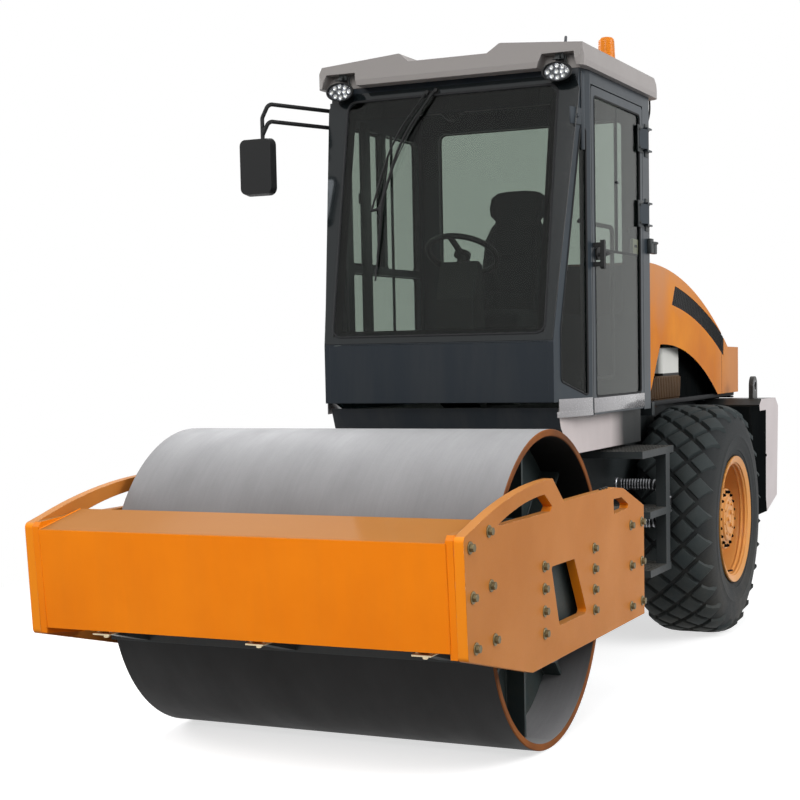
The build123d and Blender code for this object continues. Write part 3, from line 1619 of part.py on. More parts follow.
with BuildPart() as hood_grilles:
    for side, sign in sides:
        with BuildSketch(across(sign * (hood_half_width - 4 - grille_depth / 2))):
            with BuildLine():
                upper = ThreePointArc(*(behind(point) for point in grille_upper))
                lower = ThreePointArc(*(behind(point) for point in grille_lower))
                Line(upper @ 1, lower @ 0)
                Line(lower @ 1, upper @ 0)
            make_face()
        extrude(amount=grille_depth / 2, both=True)
    tail_middle_z = tail_grille_low + tail_grille_height / 2
    tail_bay_height = tail_grille_height - 2 * tail_grille_frame
    with BuildSketch(lengthwise(hood_rear_x)):
        with Locations((0, tail_middle_z)):
            RectangleRounded(2 * tail_grille_half, tail_grille_height, tail_grille_frame)
    extrude(amount=-tail_slat_depth)
    with BuildSketch(lengthwise(hood_rear_x - grille_depth)):
        with Locations((0, tail_middle_z)):
            with GridLocations(tail_grille_half - tail_grille_frame / 2, 0, 2, 1):
                Rectangle(tail_grille_half - 1.5 * tail_grille_frame, tail_bay_height)
    extrude(amount=-tail_slat_depth, mode=Mode.SUBTRACT)
    with BuildSketch(across(0)):
        with Locations((hood_rear_x - (grille_depth + tail_slat_depth) / 2 + 1, tail_middle_z)):
            with GridLocations(0, tail_bay_height / tail_slats, 1, tail_slats):
                Rectangle(tail_slat_depth - grille_depth + 2, tail_slat_thickness, rotation=20)
    extrude(amount=tail_grille_half - tail_grille_frame, both=True)
keep(hood_grilles, "hood_grilles")

print("overall length", overall_length, "drum x", drum_x, "axle x", axle_x, "pivot x", pivot_x)
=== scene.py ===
import math
import bpy
import bmesh
from mathutils import Matrix, Vector


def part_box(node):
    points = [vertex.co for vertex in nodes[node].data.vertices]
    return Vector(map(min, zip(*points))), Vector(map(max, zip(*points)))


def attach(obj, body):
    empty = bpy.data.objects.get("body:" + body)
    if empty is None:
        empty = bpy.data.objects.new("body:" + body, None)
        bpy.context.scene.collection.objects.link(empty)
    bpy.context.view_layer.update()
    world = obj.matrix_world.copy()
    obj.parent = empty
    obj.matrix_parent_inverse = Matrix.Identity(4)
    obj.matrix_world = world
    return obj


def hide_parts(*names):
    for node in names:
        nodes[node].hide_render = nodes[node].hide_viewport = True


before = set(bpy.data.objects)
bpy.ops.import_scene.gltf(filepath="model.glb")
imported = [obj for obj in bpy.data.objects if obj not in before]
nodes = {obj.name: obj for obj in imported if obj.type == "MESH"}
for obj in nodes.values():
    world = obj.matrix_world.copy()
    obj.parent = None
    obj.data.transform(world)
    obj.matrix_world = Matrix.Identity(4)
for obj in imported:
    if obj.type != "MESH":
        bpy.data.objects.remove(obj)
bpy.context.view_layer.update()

# stations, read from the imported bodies
drumLow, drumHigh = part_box("drum_shell")
drumCentre = (drumLow + drumHigh) / 2
drumHalf = (drumHigh.y - drumLow.y) / 2
plateLow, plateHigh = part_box("side_plate_left")
plateFace = plateHigh.y - 0.02           # the bolt heads stand past the plate's face
beamLow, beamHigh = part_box("front_beam")
tyreLow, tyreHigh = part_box("tyre_left")
tyreCentre = (tyreLow + tyreHigh) / 2
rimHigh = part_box("rim_left")[1]
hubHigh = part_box("hub_left")[1]
cabLow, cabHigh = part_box("cab_frame")
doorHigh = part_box("door")[1]
roofLow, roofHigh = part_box("roof")
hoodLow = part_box("hood")[0]
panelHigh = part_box("front_panel")[1]
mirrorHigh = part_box("mirror")[1]
tankLow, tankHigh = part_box("side_tank")
cabHalf = -cabLow.y                      # the right wall's outer face
frontHalf = 0.651
cornerRun = 0.371                        # how far back a front corner's facet runs
screenFoot = 1.842                       # height of the windscreen's lower edge
screenLean = 0.272 / (cabHigh.z - screenFoot)
pivotX = cabHigh.x - 0.579


# helpers for shader trees
def linear(red, green, blue):
    # screen values 0 to 255 as scene-linear colour
    def one(value):
        value /= 255.0
        return value / 12.92 if value <= 0.04045 else ((value + 0.055) / 1.055) ** 2.4
    return (one(red), one(green), one(blue), 1.0)


def feed(tree, node, inputs):
    # links a socket, sets anything else
    for key, value in dict(inputs).items():
        if isinstance(value, bpy.types.NodeSocket):
            tree.links.new(value, node.inputs[key])
        else:
            node.inputs[key].default_value = value


def add(tree, kind, inputs=(), **settings):
    node = tree.nodes.new(kind)
    for key, value in settings.items():
        setattr(node, key, value)
    feed(tree, node, inputs)
    return node.outputs


def maths(tree, operation, first, second=0.0, clamp=False):
    return add(tree, "ShaderNodeMath", {0: first, 1: second}, operation=operation, use_clamp=clamp)[0]


def times(tree, first, second, clamp=False):
    return maths(tree, "MULTIPLY", first, second, clamp)


def plus(tree, first, second, clamp=False):
    return maths(tree, "ADD", first, second, clamp)


def larger(tree, first, second):
    return maths(tree, "MAXIMUM", first, second)


def ramp(tree, value, low, high, start=0.0, end=1.0):
    inputs = {"Value": value, "From Min": low, "From Max": high, "To Min": start, "To Max": end}
    return add(tree, "ShaderNodeMapRange", inputs)["Result"]


def mixColour(tree, factor, first, second, blend="MIX"):
    settings = {"data_type": "RGBA", "blend_type": blend, "clamp_factor": True}
    return add(tree, "ShaderNodeMix", {0: factor, 6: first, 7: second}, **settings)[2]


def mixShader(tree, factor, first, second):
    return add(tree, "ShaderNodeMixShader", {0: factor, 1: first, 2: second})[0]


def objectPlace(tree):
    return add(tree, "ShaderNodeTexCoord")["Object"]


def xyz(tree, vector):
    return add(tree, "ShaderNodeSeparateXYZ", {0: vector})


def noiseValue(tree, place, scale, detail=3.0, rough=0.55, stretch=None):
    if stretch:
        place = add(tree, "ShaderNodeMapping", {"Vector": place, "Scale": stretch})[0]
    inputs = {"Vector": place, "Scale": scale, "Detail": detail, "Roughness": rough}
    return add(tree, "ShaderNodeTexNoise", inputs)["Fac"]


# camera, floor and light
cameraView = {
    "place": (8.5449, 3.4204, 1.7985),
    "heading": -2.712,
    "tilt": 0.0802,
    "roll": -0.019,
    "lens": 72.0,
    "shift": (-0.0333, 0.1014),
}


def makeCamera(view):
    data = bpy.data.cameras.new("camera")
    data.lens = view["lens"]
    data.sensor_width = 36.0
    data.shift_x, data.shift_y = view["shift"]
    data.clip_end = 200.0
    heading, tilt, roll = view["heading"], view["tilt"], view["roll"]
    level = Vector((math.cos(heading), math.sin(heading), 0.0)) * math.cos(tilt)
    forward = level - Vector((0.0, 0.0, math.sin(tilt)))
    right = Vector((math.sin(heading), -math.cos(heading), 0.0))
    up = right.cross(forward)
    across = right * math.cos(roll) + up * math.sin(roll)
    over = up * math.cos(roll) - right * math.sin(roll)
    turn = Matrix((across, over, -forward)).transposed().to_4x4()
    camera = bpy.data.objects.new("camera", data)
    camera.matrix_world = Matrix.Translation(view["place"]) @ turn
    bpy.context.scene.collection.objects.link(camera)
    bpy.context.scene.camera = camera


lamps = {
    # name: place, aim, size, watts, colour
    "key": ((8.6, 0.8, 6.4), (0.8, 0.0, 1.2), 6.0, 620.0, (1.0, 0.99, 0.97)),
    "side": ((-0.5, 8.8, 5.4), (-0.6, 0.0, 1.2), 6.0, 520.0, (1.0, 0.99, 0.985)),
    "back": ((-7.0, -6.5, 8.8), (-0.6, 0.0, 1.4), 5.0, 420.0, (0.97, 0.98, 1.0)),
    "right": ((2.0, -9.0, 5.2), (0.4, 0.0, 1.0), 5.0, 380.0, (1.0, 1.0, 1.0)),
}


def makeLamps():
    for name, (place, aim, size, watts, colour) in lamps.items():
        data = bpy.data.lights.new(name, "AREA")
        data.shape = "DISK"
        data.size = size
        data.energy = watts
        data.color = colour
        lamp = bpy.data.objects.new(name, data)
        turn = (Vector(aim) - Vector(place)).to_track_quat("-Z", "Y")
        lamp.matrix_world = Matrix.Translation(place) @ turn.to_matrix().to_4x4()
        bpy.context.scene.collection.objects.link(lamp)


def seenRay(tree):
    # 1 for the rays that meet the backdrop directly or through gloss and glass
    path = add(tree, "ShaderNodeLightPath")
    first = larger(tree, path["Is Camera Ray"], path["Is Glossy Ray"])
    return larger(tree, first, path["Is Transmission Ray"])


worldLook = {
    "white": (1.0, 1.0, 1.0, 1.0),           # what the camera sees
    "sky": (0.95, 0.97, 1.0, 1.0),           # what lights the machine
    "rise": (0.05, -1.0, 0.16, 0.75),        # from level to straight up, and its strength there
}


def makeWorld(look):
    world = bpy.data.worlds.new("studio")
    bpy.context.scene.world = world
    world.use_nodes = True
    tree = world.node_tree
    tree.nodes.clear()
    white = add(tree, "ShaderNodeBackground", {"Color": look["white"], "Strength": 1.0})
    toward = xyz(tree, add(tree, "ShaderNodeNewGeometry")["Incoming"])
    strength = ramp(tree, toward["Z"], *look["rise"])
    soft = add(tree, "ShaderNodeBackground", {"Color": look["sky"], "Strength": strength})
    mixed = mixShader(tree, seenRay(tree), soft[0], white[0])
    add(tree, "ShaderNodeOutputWorld", {"Surface": mixed})


floorLook = {
    "size": 60.0,
    "white": (1.0, 1.0, 1.0, 1.0),
    "shaded": (0.62, 0.62, 0.62, 1.0),       # takes the machine's shadow
    "lift": 0.66,                            # and brings the rest up to white
    "fade": (2.4, 5.2),                      # distances at which the shadow fades away
    "bounce": (0.2, 0.2, 0.2, 1.0),          # what the machine is lit by from below
}


def makeFloor(look):
    mesh = bpy.data.meshes.new("floor")
    bm = bmesh.new()
    bmesh.ops.create_grid(bm, x_segments=1, y_segments=1, size=look["size"])
    bm.to_mesh(mesh)
    bm.free()
    floor = bpy.data.objects.new("floor", mesh)
    bpy.context.scene.collection.objects.link(floor)
    material = bpy.data.materials.new("paleFloor")
    material.use_nodes = True
    tree = material.node_tree
    tree.nodes.clear()
    shadowed = add(tree, "ShaderNodeBsdfDiffuse", {"Color": look["shaded"]})
    lift = add(tree, "ShaderNodeEmission", {"Color": look["white"], "Strength": look["lift"]})
    near = add(tree, "ShaderNodeAddShader", {0: shadowed[0], 1: lift[0]})
    reach = add(tree, "ShaderNodeVectorMath", {0: objectPlace(tree)}, operation="LENGTH")
    far = add(tree, "ShaderNodeEmission", {"Color": look["white"]})
    seen = mixShader(tree, ramp(tree, reach["Value"], *look["fade"]), near[0], far[0])
    bounce = add(tree, "ShaderNodeBsdfDiffuse", {"Color": look["bounce"]})
    mixed = mixShader(tree, seenRay(tree), bounce[0], seen)
    add(tree, "ShaderNodeOutputMaterial", {"Surface": mixed})
    mesh.materials.append(material)


bpy.context.scene.view_settings.view_transform = "Standard"
makeCamera(cameraView)
makeLamps()
makeWorld(worldLook)
makeFloor(floorLook)
print("camera, floor and light")


# shared shader groups
def newGroup(name, inputs, outputs):
    # inputs: label, kind and value of each; gives the tree, its inputs' sockets and its end
    tree = bpy.data.node_groups.new(name, "ShaderNodeTree")
    for label, kind, value in inputs:
        socket = tree.interface.new_socket(label, in_out="INPUT", socket_type="NodeSocket" + kind)
        socket.default_value = value
    for label, kind in outputs:
        tree.interface.new_socket(label, in_out="OUTPUT", socket_type="NodeSocket" + kind)
    return tree, add(tree, "NodeGroupInput"), tree.nodes.new("NodeGroupOutput")


def makeSurfaceGroup():
    # mottle: broad cloudy change; speck: fine grain; streak: run marks down the faces;
    # peel: the faint waves of sprayed paint
    outputs = tuple((label, "Float") for label in ("Mottle", "Speck", "Streak", "Peel"))
    tree, inlet, outlet = newGroup("surfaceBreakup", (("Scale", "Float", 1.0),), outputs)
    scaled = {0: objectPlace(tree), "Scale": inlet["Scale"]}
    place = add(tree, "ShaderNodeVectorMath", scaled, operation="SCALE")[0]
    feed(tree, outlet, {
        "Mottle": ramp(tree, noiseValue(tree, place, 2.3, 4.0), 0.3, 0.7),
        "Speck": ramp(tree, noiseValue(tree, place, 160.0, 2.0, 0.7), 0.35, 0.7),
        "Streak": ramp(tree, noiseValue(tree, place, 9.0, 4.0, 0.6, (1.0, 1.0, 0.12)), 0.42, 0.72),
        "Peel": noiseValue(tree, place, 95.0, 1.0, 0.4),
    })
    return tree


def makeEdgeGroup():
    # edge: thin line along sharp edges, worn paint and the side plates' painted highlight; soft:
    # normal, edges rounded
    inputs = (("Radius", "Float", 0.004), ("Scale", "Float", 14.0))
    tree, inlet, outlet = newGroup("edgeWearAndGlint", inputs, (("Edge", "Float"), ("Soft", "Vector")))
    bevel = add(tree, "ShaderNodeBevel", {"Radius": inlet["Radius"]}, samples=4)
    plain = add(tree, "ShaderNodeNewGeometry")["Normal"]
    turn = add(tree, "ShaderNodeVectorMath", {0: bevel[0], 1: plain}, operation="DOT_PRODUCT")
    bend = ramp(tree, turn["Value"], 0.995, 0.86)
    broken = ramp(tree, noiseValue(tree, objectPlace(tree), inlet["Scale"], 5.0, 0.75), 0.5, 0.62)
    feed(tree, outlet, {"Edge": times(tree, bend, broken, True), "Soft": bevel[0]})
    return tree


def makeDustGroup():
    # road dust: thicker towards the ground, on ledges and in patches
    inputs = (("Top", "Float", 1.1), ("Ledge", "Float", 0.25))
    tree, inlet, outlet = newGroup("roadDust", inputs, (("Dust", "Float"),))
    place = objectPlace(tree)
    height = maths(tree, "DIVIDE", xyz(tree, place)["Z"], inlet["Top"])
    low = maths(tree, "POWER", ramp(tree, height, 1.0, 0.0), 1.6)
    facing = xyz(tree, add(tree, "ShaderNodeNewGeometry")["Normal"])["Z"]
    ledge = times(tree, ramp(tree, facing, 0.55, 0.98), inlet["Ledge"])
    total = plus(tree, low, ledge, True)
    patches = ramp(tree, noiseValue(tree, place, 5.5, 6.0, 0.7), 0.36, 0.66)
    feed(tree, outlet, {"Dust": times(tree, total, patches, True)})
    return tree


def makeCastGroup():
    # cast: pebbled skin of a casting or a forged part
    tree, inlet, outlet = newGroup("castSkin", (("Scale", "Float", 240.0),), (("Height", "Float"),))
    place = objectPlace(tree)
    cell = add(tree, "ShaderNodeTexVoronoi", {"Vector": place, "Scale": inlet["Scale"]})
    feed(tree, outlet, {"Height": plus(tree, cell["Distance"], noiseValue(tree, place, 60.0, 3.0))})
    return tree


def makeTurnedGroup():
    # turned: fine rings and scratches round an axle that lies across the machine
    inputs = (("Centre", "Vector", (0, 0, 0)), ("Fineness", "Float", 60.0))
    tree, inlet, outlet = newGroup("turnedMarks", inputs, (("Ring", "Float"), ("Patch", "Float")))
    offset = {0: objectPlace(tree), 1: inlet["Centre"]}
    parts = xyz(tree, add(tree, "ShaderNodeVectorMath", offset, operation="SUBTRACT")[0])
    angle = maths(tree, "ARCTAN2", parts["X"], parts["Z"])
    around, broad = (
        add(tree, "ShaderNodeCombineXYZ", {0: times(tree, angle, share), 1: parts["Y"], 2: 0.0})[0]
        for share in (0.02, 0.35)
    )
    patch = noiseValue(tree, broad, 4.0, 5.0, 0.6)
    feed(tree, outlet, {
        "Ring": noiseValue(tree, around, inlet["Fineness"], 5.0, 0.75),
        "Patch": ramp(tree, patch, 0.35, 0.68),
    })
    return tree


surfaceGroup = makeSurfaceGroup()
edgeGroup = makeEdgeGroup()
dustGroup = makeDustGroup()
castGroup = makeCastGroup()
turnedGroup = makeTurnedGroup()


def grouped(tree, group, **inputs):
    return add(tree, "ShaderNodeGroup", inputs, node_tree=group)


def bumped(tree, height, strength, distance, normal=None):
    inputs = {"Height": height, "Strength": strength, "Distance": distance}
    if normal is not None:
        inputs["Normal"] = normal
    return add(tree, "ShaderNodeBump", inputs)[0]


def blankMaterial(name):
    material = bpy.data.materials.new(name)
    material.use_nodes = True
    return material, material.node_tree, material.node_tree.nodes["Principled BSDF"]


# finishes; each paint's colour and its darker clouds, worn edges and settled dirt,
# then its shine: roughness, sheen level and coat,
# then how high road dust reaches and the shares of edge wear, dust and settled dirt;
# the side plates' edge colour is a painted highlight, the front beam's settled share partly painted
# shade
paints = {
    # front beam: the brown on its top is settled dirt and painted shade
    "orangePaint": ((244, 134, 16), (230, 118, 8), (132, 78, 40), (138, 98, 50),
                    0.34, 0.1, 0.03, 0.75, 0.35, 0.16, 0.85),
    # side plates: the beam's orange painted darker and browner as shade on their sides, the lit orange
    # on their fronts
    "plateOrange": ((200, 126, 54), (180, 108, 42), (226, 184, 148), (150, 118, 76),
                    0.42, 0.14, 0.0, 0.9, 0.8, 0.3, 0.3),
    "hoodOrange": ((232, 140, 12), (200, 104, 4), (150, 84, 40), (170, 130, 76),
                   0.24, 0.0, 0.2, 0.6, 0.15, 0.06, 0.05),
    "rimGold": ((230, 158, 80), (204, 134, 58), (120, 78, 40), (150, 118, 76),
                0.34, 0.25, 0.08, 0.9, 0.3, 0.3, 0.2),
    "framePaint": ((34, 40, 42), (26, 31, 33), (84, 80, 76), (96, 90, 80),
                   0.45, 0.3, 0.05, 1.1, 0.4, 0.3, 0.3),
    "cabPaint": ((40, 50, 58), (32, 40, 47), (84, 86, 90), (104, 100, 92),
                 0.3, 0.2, 0.06, 0.5, 0.12, 0.1, 0.1),
    "sillPaint": ((150, 148, 150), (112, 112, 116), (60, 60, 62), (120, 112, 100),
                  0.2, 0.6, 0.5, 0.5, 0.2, 0.15, 0.1),
    "weightPaint": ((214, 204, 204), (200, 190, 190), (120, 112, 106), (150, 138, 124),
                    0.4, 0.4, 0.05, 0.9, 0.4, 0.25, 0.0),
    "baseGrey": ((214, 204, 203), (192, 182, 181), (110, 104, 100), (140, 130, 118),
                 0.42, 0.35, 0.0, 0.9, 0.3, 0.2, 0.2),
    "roofSkin": ((158, 153, 151), (146, 141, 139), (128, 122, 120), (132, 126, 117),
                 0.5, 0.3, 0.0, 0.5, 0.12, 0.1, 0.15),
    "drumPaint": ((44, 56, 57), (34, 44, 45), (88, 62, 44), (82, 78, 68),
                  0.5, 0.3, 0.0, 1.3, 0.5, 0.35, 0.2),
    "engineIron": ((40, 39, 38), (27, 26, 26), (90, 80, 70), (84, 74, 60),
                   0.6, 0.3, 0.0, 1.2, 0.4, 0.4, 0.4),
    "tankBrown": ((84, 60, 34), (56, 40, 24), (104, 82, 56), (84, 68, 46),
                  0.5, 0.25, 0.0, 1.2, 0.3, 0.2, 0.3),
    # a darker copy of the frame's black, painted shade on the side boxes, their lids and the engine
    # shields
    "chassisBlack": ((18, 21, 22), (13, 15, 16), (64, 60, 56), (62, 56, 48),
                     0.5, 0.0, 0.0, 1.1, 0.3, 0.12, 0.1),
}


# colours of the sides that differ, and where they begin
paintSides = {
    # side plates: the lit orange on the front faces, beside the painted shade of their sides
    "plateOrange": {"front": (240, 138, 22), "zincPast": plateFace + 0.0006},
    # hood: a pale painted sheen along the top and over the tail
    "hoodOrange": {"inside": (24, 24, 24), "paintedSheen": (208, 152, 112)},
    "cabPaint": {"front": (24, 31, 38)},
    # rear weight: its dark front is painted shade
    "weightPaint": {"front": (20, 24, 25), "above": (20, 24, 25), "darkPast": 1.4355},
    "baseGrey": {"front": (36, 41, 46), "behind": (24, 28, 29)},
    "roofSkin": {"front": (128, 124, 122)},
}
boltZinc = (108, 99, 74)


def makePaint(
    name, colour, shade, edgeWearAndGlintColour, soil, rough, sheen, coat, top, edgeWearAndGlintShare, dust, ledge, front=None, above=None,
    darkPast=9.0, inside=None, paintedSheen=None, behind=None, zincPast=None
):
    material, tree, bsdf = blankMaterial(name)
    dirt = linear(*soil)
    surface = grouped(tree, surfaceGroup, Scale=1.0)
    edge = grouped(tree, edgeGroup, Radius=0.004, Scale=16.0)
    road = grouped(tree, dustGroup, Top=top, Ledge=0.2)
    place = xyz(tree, objectPlace(tree))
    facing = xyz(tree, add(tree, "ShaderNodeNewGeometry")["Normal"])
    mottle = surface["Mottle"]
    body = mixColour(tree, times(tree, mottle, 0.6), linear(*colour), linear(*shade))
    if paintedSheen:
        # painted sheen: a pale sky reflection painted along the top and over the tail
        high = plus(tree, place["Z"], times(tree, mottle, 0.22))
        tail = ramp(tree, place["X"], -2.25, -2.65, 0.0, 0.5)
        paintedSheenShare = larger(tree, ramp(tree, high, 2.06, 2.4, 0.0, 0.65), tail)
        body = mixColour(tree, paintedSheenShare, body, linear(*paintedSheen))
    if behind:
        # the rear part of the side turns dark with a soft edge
        rearward = plus(tree, place["X"], times(tree, mottle, 0.06))
        body = mixColour(tree, ramp(tree, rearward, 0.05, -0.17), body, linear(*behind))
    if front:
        # the front side takes its own colour: painted shade on the rear weight, the lit orange on the
        # side plates
        body = mixColour(tree, ramp(tree, facing["X"], 0.38, 0.48), body, linear(*front))
    if above:
        # its top and all that stands above a height take another colour as well
        over = ramp(tree, place["Z"], darkPast, darkPast + 0.001)
        over = larger(tree, over, ramp(tree, facing["Z"], 0.75, 0.85))
        body = mixColour(tree, over, body, linear(*above))
    body = mixColour(tree, times(tree, surface["Streak"], 0.05), body, dirt)
    # settled dirt on faces that look up; on the front beam it also paints shade on the top
    settled = times(tree, ramp(tree, facing["Z"], 0.5, 0.95), ledge)
    body = mixColour(tree, settled, body, dirt)
    # worn edges; on the side plates their pale colour is a painted edge highlight
    body = mixColour(tree, times(tree, edge["Edge"], edgeWearAndGlintShare), body, linear(*edgeWearAndGlintColour))
    dusty = times(tree, road["Dust"], dust, True)
    body = mixColour(tree, dusty, body, dirt)
    if inside:
        # faces that look in towards the middle or down are made near black
        inward = times(tree, place["Y"], facing["Y"])
        hidden = larger(tree, ramp(tree, inward, -0.08, -0.16), ramp(tree, facing["Z"], -0.3, -0.4))
        body = mixColour(tree, hidden, body, linear(*inside))
    if zincPast:
        # what stands out past this distance from the middle is a plated bolt head
        head = ramp(tree, maths(tree, "ABSOLUTE", place["Y"]), zincPast, zincPast + 0.0004)
        body = mixColour(tree, head, body, linear(*boltZinc))
        feed(tree, bsdf, {"Metallic": times(tree, head, 0.75)})
    shine = plus(tree, times(tree, surface["Speck"], 0.07), rough)
    shine = plus(tree, times(tree, mottle, 0.06), shine)
    shine = plus(tree, times(tree, settled, 0.45), shine)
    height = maths(tree, "SUBTRACT", surface["Peel"], times(tree, edge["Edge"], 0.6))
    feed(tree, bsdf, {
        "Base Color": body,
        "Roughness": plus(tree, times(tree, dusty, 0.5), shine, True),
        "Specular IOR Level": sheen,
        "Coat Weight": coat,
        "Coat Roughness": 0.1,
        "Normal": bumped(tree, height, 0.1, 0.0012, edge["Soft"]),
    })
    return material


def makeDrumSteel():
    # rolled steel: satin skin, lighter facing up and darker facing down as painted reflection and
    # shade; rust on the ends
    material, tree, bsdf = blankMaterial("drumSteel")
    surface = grouped(tree, surfaceGroup, Scale=1.0)
    edge = grouped(tree, edgeGroup, Radius=0.004, Scale=30.0)
    turned = grouped(tree, turnedGroup, Centre=tuple(drumCentre), Fineness=46.0)
    across = maths(tree, "ABSOLUTE", xyz(tree, objectPlace(tree))["Y"])
    end = ramp(tree, across, drumHalf - 0.0045, drumHalf - 0.0035)
    body = mixColour(tree, turned["Patch"], linear(172, 172, 174), linear(160, 160, 162))
    rings = ramp(tree, turned["Ring"], 0.4, 0.75, 0.0, 0.25)
    body = mixColour(tree, rings, body, linear(140, 140, 142))
    body = mixColour(tree, times(tree, surface["Speck"], 0.08), body, linear(120, 108, 94))
    facing = xyz(tree, add(tree, "ShaderNodeNewGeometry")["Normal"])
    # painted reflection and shade: the colour is scaled by how far each face looks up, whatever the
    # drum's turn
    sky = maths(tree, "POWER", ramp(tree, facing["Z"], -0.14, 0.98, 0.1, 0.92), 1.6)
    paintedSkyShade = add(tree, "ShaderNodeCombineColor", {0: sky, 1: sky, 2: sky})[0]
    body = mixColour(tree, 1.0, body, paintedSkyShade, "MULTIPLY")
    rustRing = mixColour(tree, surface["Mottle"], linear(150, 88, 40), linear(92, 56, 34))
    rough = plus(tree, times(tree, turned["Patch"], 0.1), 0.56)
    feed(tree, bsdf, {
        "Base Color": mixColour(tree, end, body, rustRing),
        "Roughness": plus(tree, rough, times(tree, end, 0.2), True),
        "Specular IOR Level": 0.2,
        "Normal": bumped(tree, turned["Ring"], 0.12, 0.001, edge["Soft"]),
    })
    return material


def clouded(tree, surface, colour, share, darker):
    # a colour with darker clouds in it
    dark = linear(*(value * darker for value in colour))
    return mixColour(tree, times(tree, surface["Mottle"], share), linear(*colour), dark)


def speckled(tree, surface, share, rough):
    return plus(tree, times(tree, surface["Speck"], share), rough, True)


def makeRubber(name, colour, dusty):
    material, tree, bsdf = blankMaterial(name)
    surface = grouped(tree, surfaceGroup, Scale=1.0)
    road = grouped(tree, dustGroup, Top=1.4, Ledge=0.1)
    cast = grouped(tree, castGroup, Scale=420.0)
    body = clouded(tree, surface, colour, 0.6, 0.78)
    settled = times(tree, road["Dust"], dusty, True)
    feed(tree, bsdf, {
        "Base Color": mixColour(tree, settled, body, linear(104, 98, 88)),
        "Roughness": speckled(tree, surface, 0.12, 0.72),
        "Specular IOR Level": 0.3,
        "Normal": bumped(tree, cast["Height"], 0.2, 0.0008),
    })
    return material


def makeMoulded(name, colour, rough=0.5, grain=380.0, bump=0.15, coat=0.0, sheen=0.3):
    material, tree, bsdf = blankMaterial(name)
    surface = grouped(tree, surfaceGroup, Scale=1.0)
    cast = grouped(tree, castGroup, Scale=grain)
    edge = grouped(tree, edgeGroup, Radius=0.002, Scale=20.0)
    rubbed = linear(*(min(255, value * 1.4 + 20) for value in colour))
    body = clouded(tree, surface, colour, 0.5, 0.82)
    feed(tree, bsdf, {
        "Base Color": mixColour(tree, times(tree, edge["Edge"], 0.25), body, rubbed),
        "Roughness": speckled(tree, surface, 0.1, rough),
        "Coat Weight": coat,
        "Specular IOR Level": sheen,
        "Normal": bumped(tree, cast["Height"], bump, 0.0006, edge["Soft"]),
    })
    return material


def makeMetal(name, colour, rough, spots=0.2):
    material, tree, bsdf = blankMaterial(name)
    surface = grouped(tree, surfaceGroup, Scale=2.0)
    body = clouded(tree, surface, colour, 0.4, 0.8)
    feed(tree, bsdf, {
        "Base Color": mixColour(tree, times(tree, surface["Speck"], spots), body, linear(90, 70, 50)),
        "Metallic": 0.9,
        "Roughness": speckled(tree, surface, 0.15, rough),
        "Normal": bumped(tree, surface["Peel"], 0.08, 0.0006),
    })
    return material


def makeGlass(name, tint, bend):
    # tinted safety glass; bend is its index, which sets how much it mirrors
    material, tree, bsdf = blankMaterial(name)
    surface = grouped(tree, surfaceGroup, Scale=1.0)
    cloudy = tuple(value * 0.92 for value in tint)
    feed(tree, bsdf, {
        "Base Color": mixColour(tree, times(tree, surface["Mottle"], 0.2), tint, cloudy),
        "Transmission Weight": 1.0,
        "Roughness": 0.0,
        "IOR": bend,
    })
    # light on its way to the inside goes straight through, dimmed by the tint
    path = add(tree, "ShaderNodeLightPath")
    passing = larger(tree, path["Is Shadow Ray"], path["Is Diffuse Ray"])
    dimmed = tuple(value * 0.8 for value in tint[:3]) + (1.0,)
    clear = add(tree, "ShaderNodeBsdfTransparent", {"Color": dimmed})
    split = mixShader(tree, passing, bsdf.outputs[0], clear[0])
    feed(tree, tree.nodes["Material Output"], {"Surface": split})
    return material


finish = {name: makePaint(name, *row, **paintSides.get(name, {})) for name, row in paints.items()}
finish["drumSteel"] = makeDrumSteel()
otherFinishes = {
    # the values that follow the name in each kind's function
    makeRubber: {
        "tyreRubber": ((48, 55, 56), 0.3),
        "tyreGroove": ((24, 28, 30), 0.3),
        "blackRubber": ((26, 27, 29), 0.1),
    },
    makeMoulded: {
        "blackPlastic": ((21, 22, 23), 0.5, 380.0, 0.15, 0.0, 0.22),
        "greyPlastic": ((74, 76, 80),),
        "whitePlastic": ((224, 224, 218), 0.4),
        "beigePlastic": ((206, 200, 178), 0.4),
        "beaconAmber": ((224, 128, 24), 0.2, 300.0, 0.03, 0.1, 0.15),
        "blackGlass": ((22, 27, 29), 0.05, 300.0, 0.0, 0.0, 0.4),
        "seatCloth": ((36, 38, 42), 0.9, 600.0, 0.6),
        "lampLed": ((240, 236, 214), 0.2, 300.0, 0.02, 0.4),
    },
    makeMetal: {
        "zincPlate": ((124, 112, 82), 0.4),
        "brightZinc": ((236, 220, 184), 0.4, 0.1),
        "steelGrey": ((150, 152, 156), 0.3, 0.1),
        "chromeRod": ((196, 198, 202), 0.12, 0.03),
        "lampReflector": ((214, 216, 220), 0.14, 0.02),
        "mirrorSilver": ((206, 212, 216), 0.03, 0.01),
    },
    makeGlass: {
        "glassTint": ((0.43, 0.48, 0.44, 1.0), 1.27),
        "sideTint": ((0.43, 0.48, 0.44, 1.0), 1.16),
        "lampLens": ((0.93, 0.95, 0.97, 1.0), 1.2),
    },
}
for make, rows in otherFinishes.items():
    for name, values in rows.items():
        finish[name] = make(name, *values)

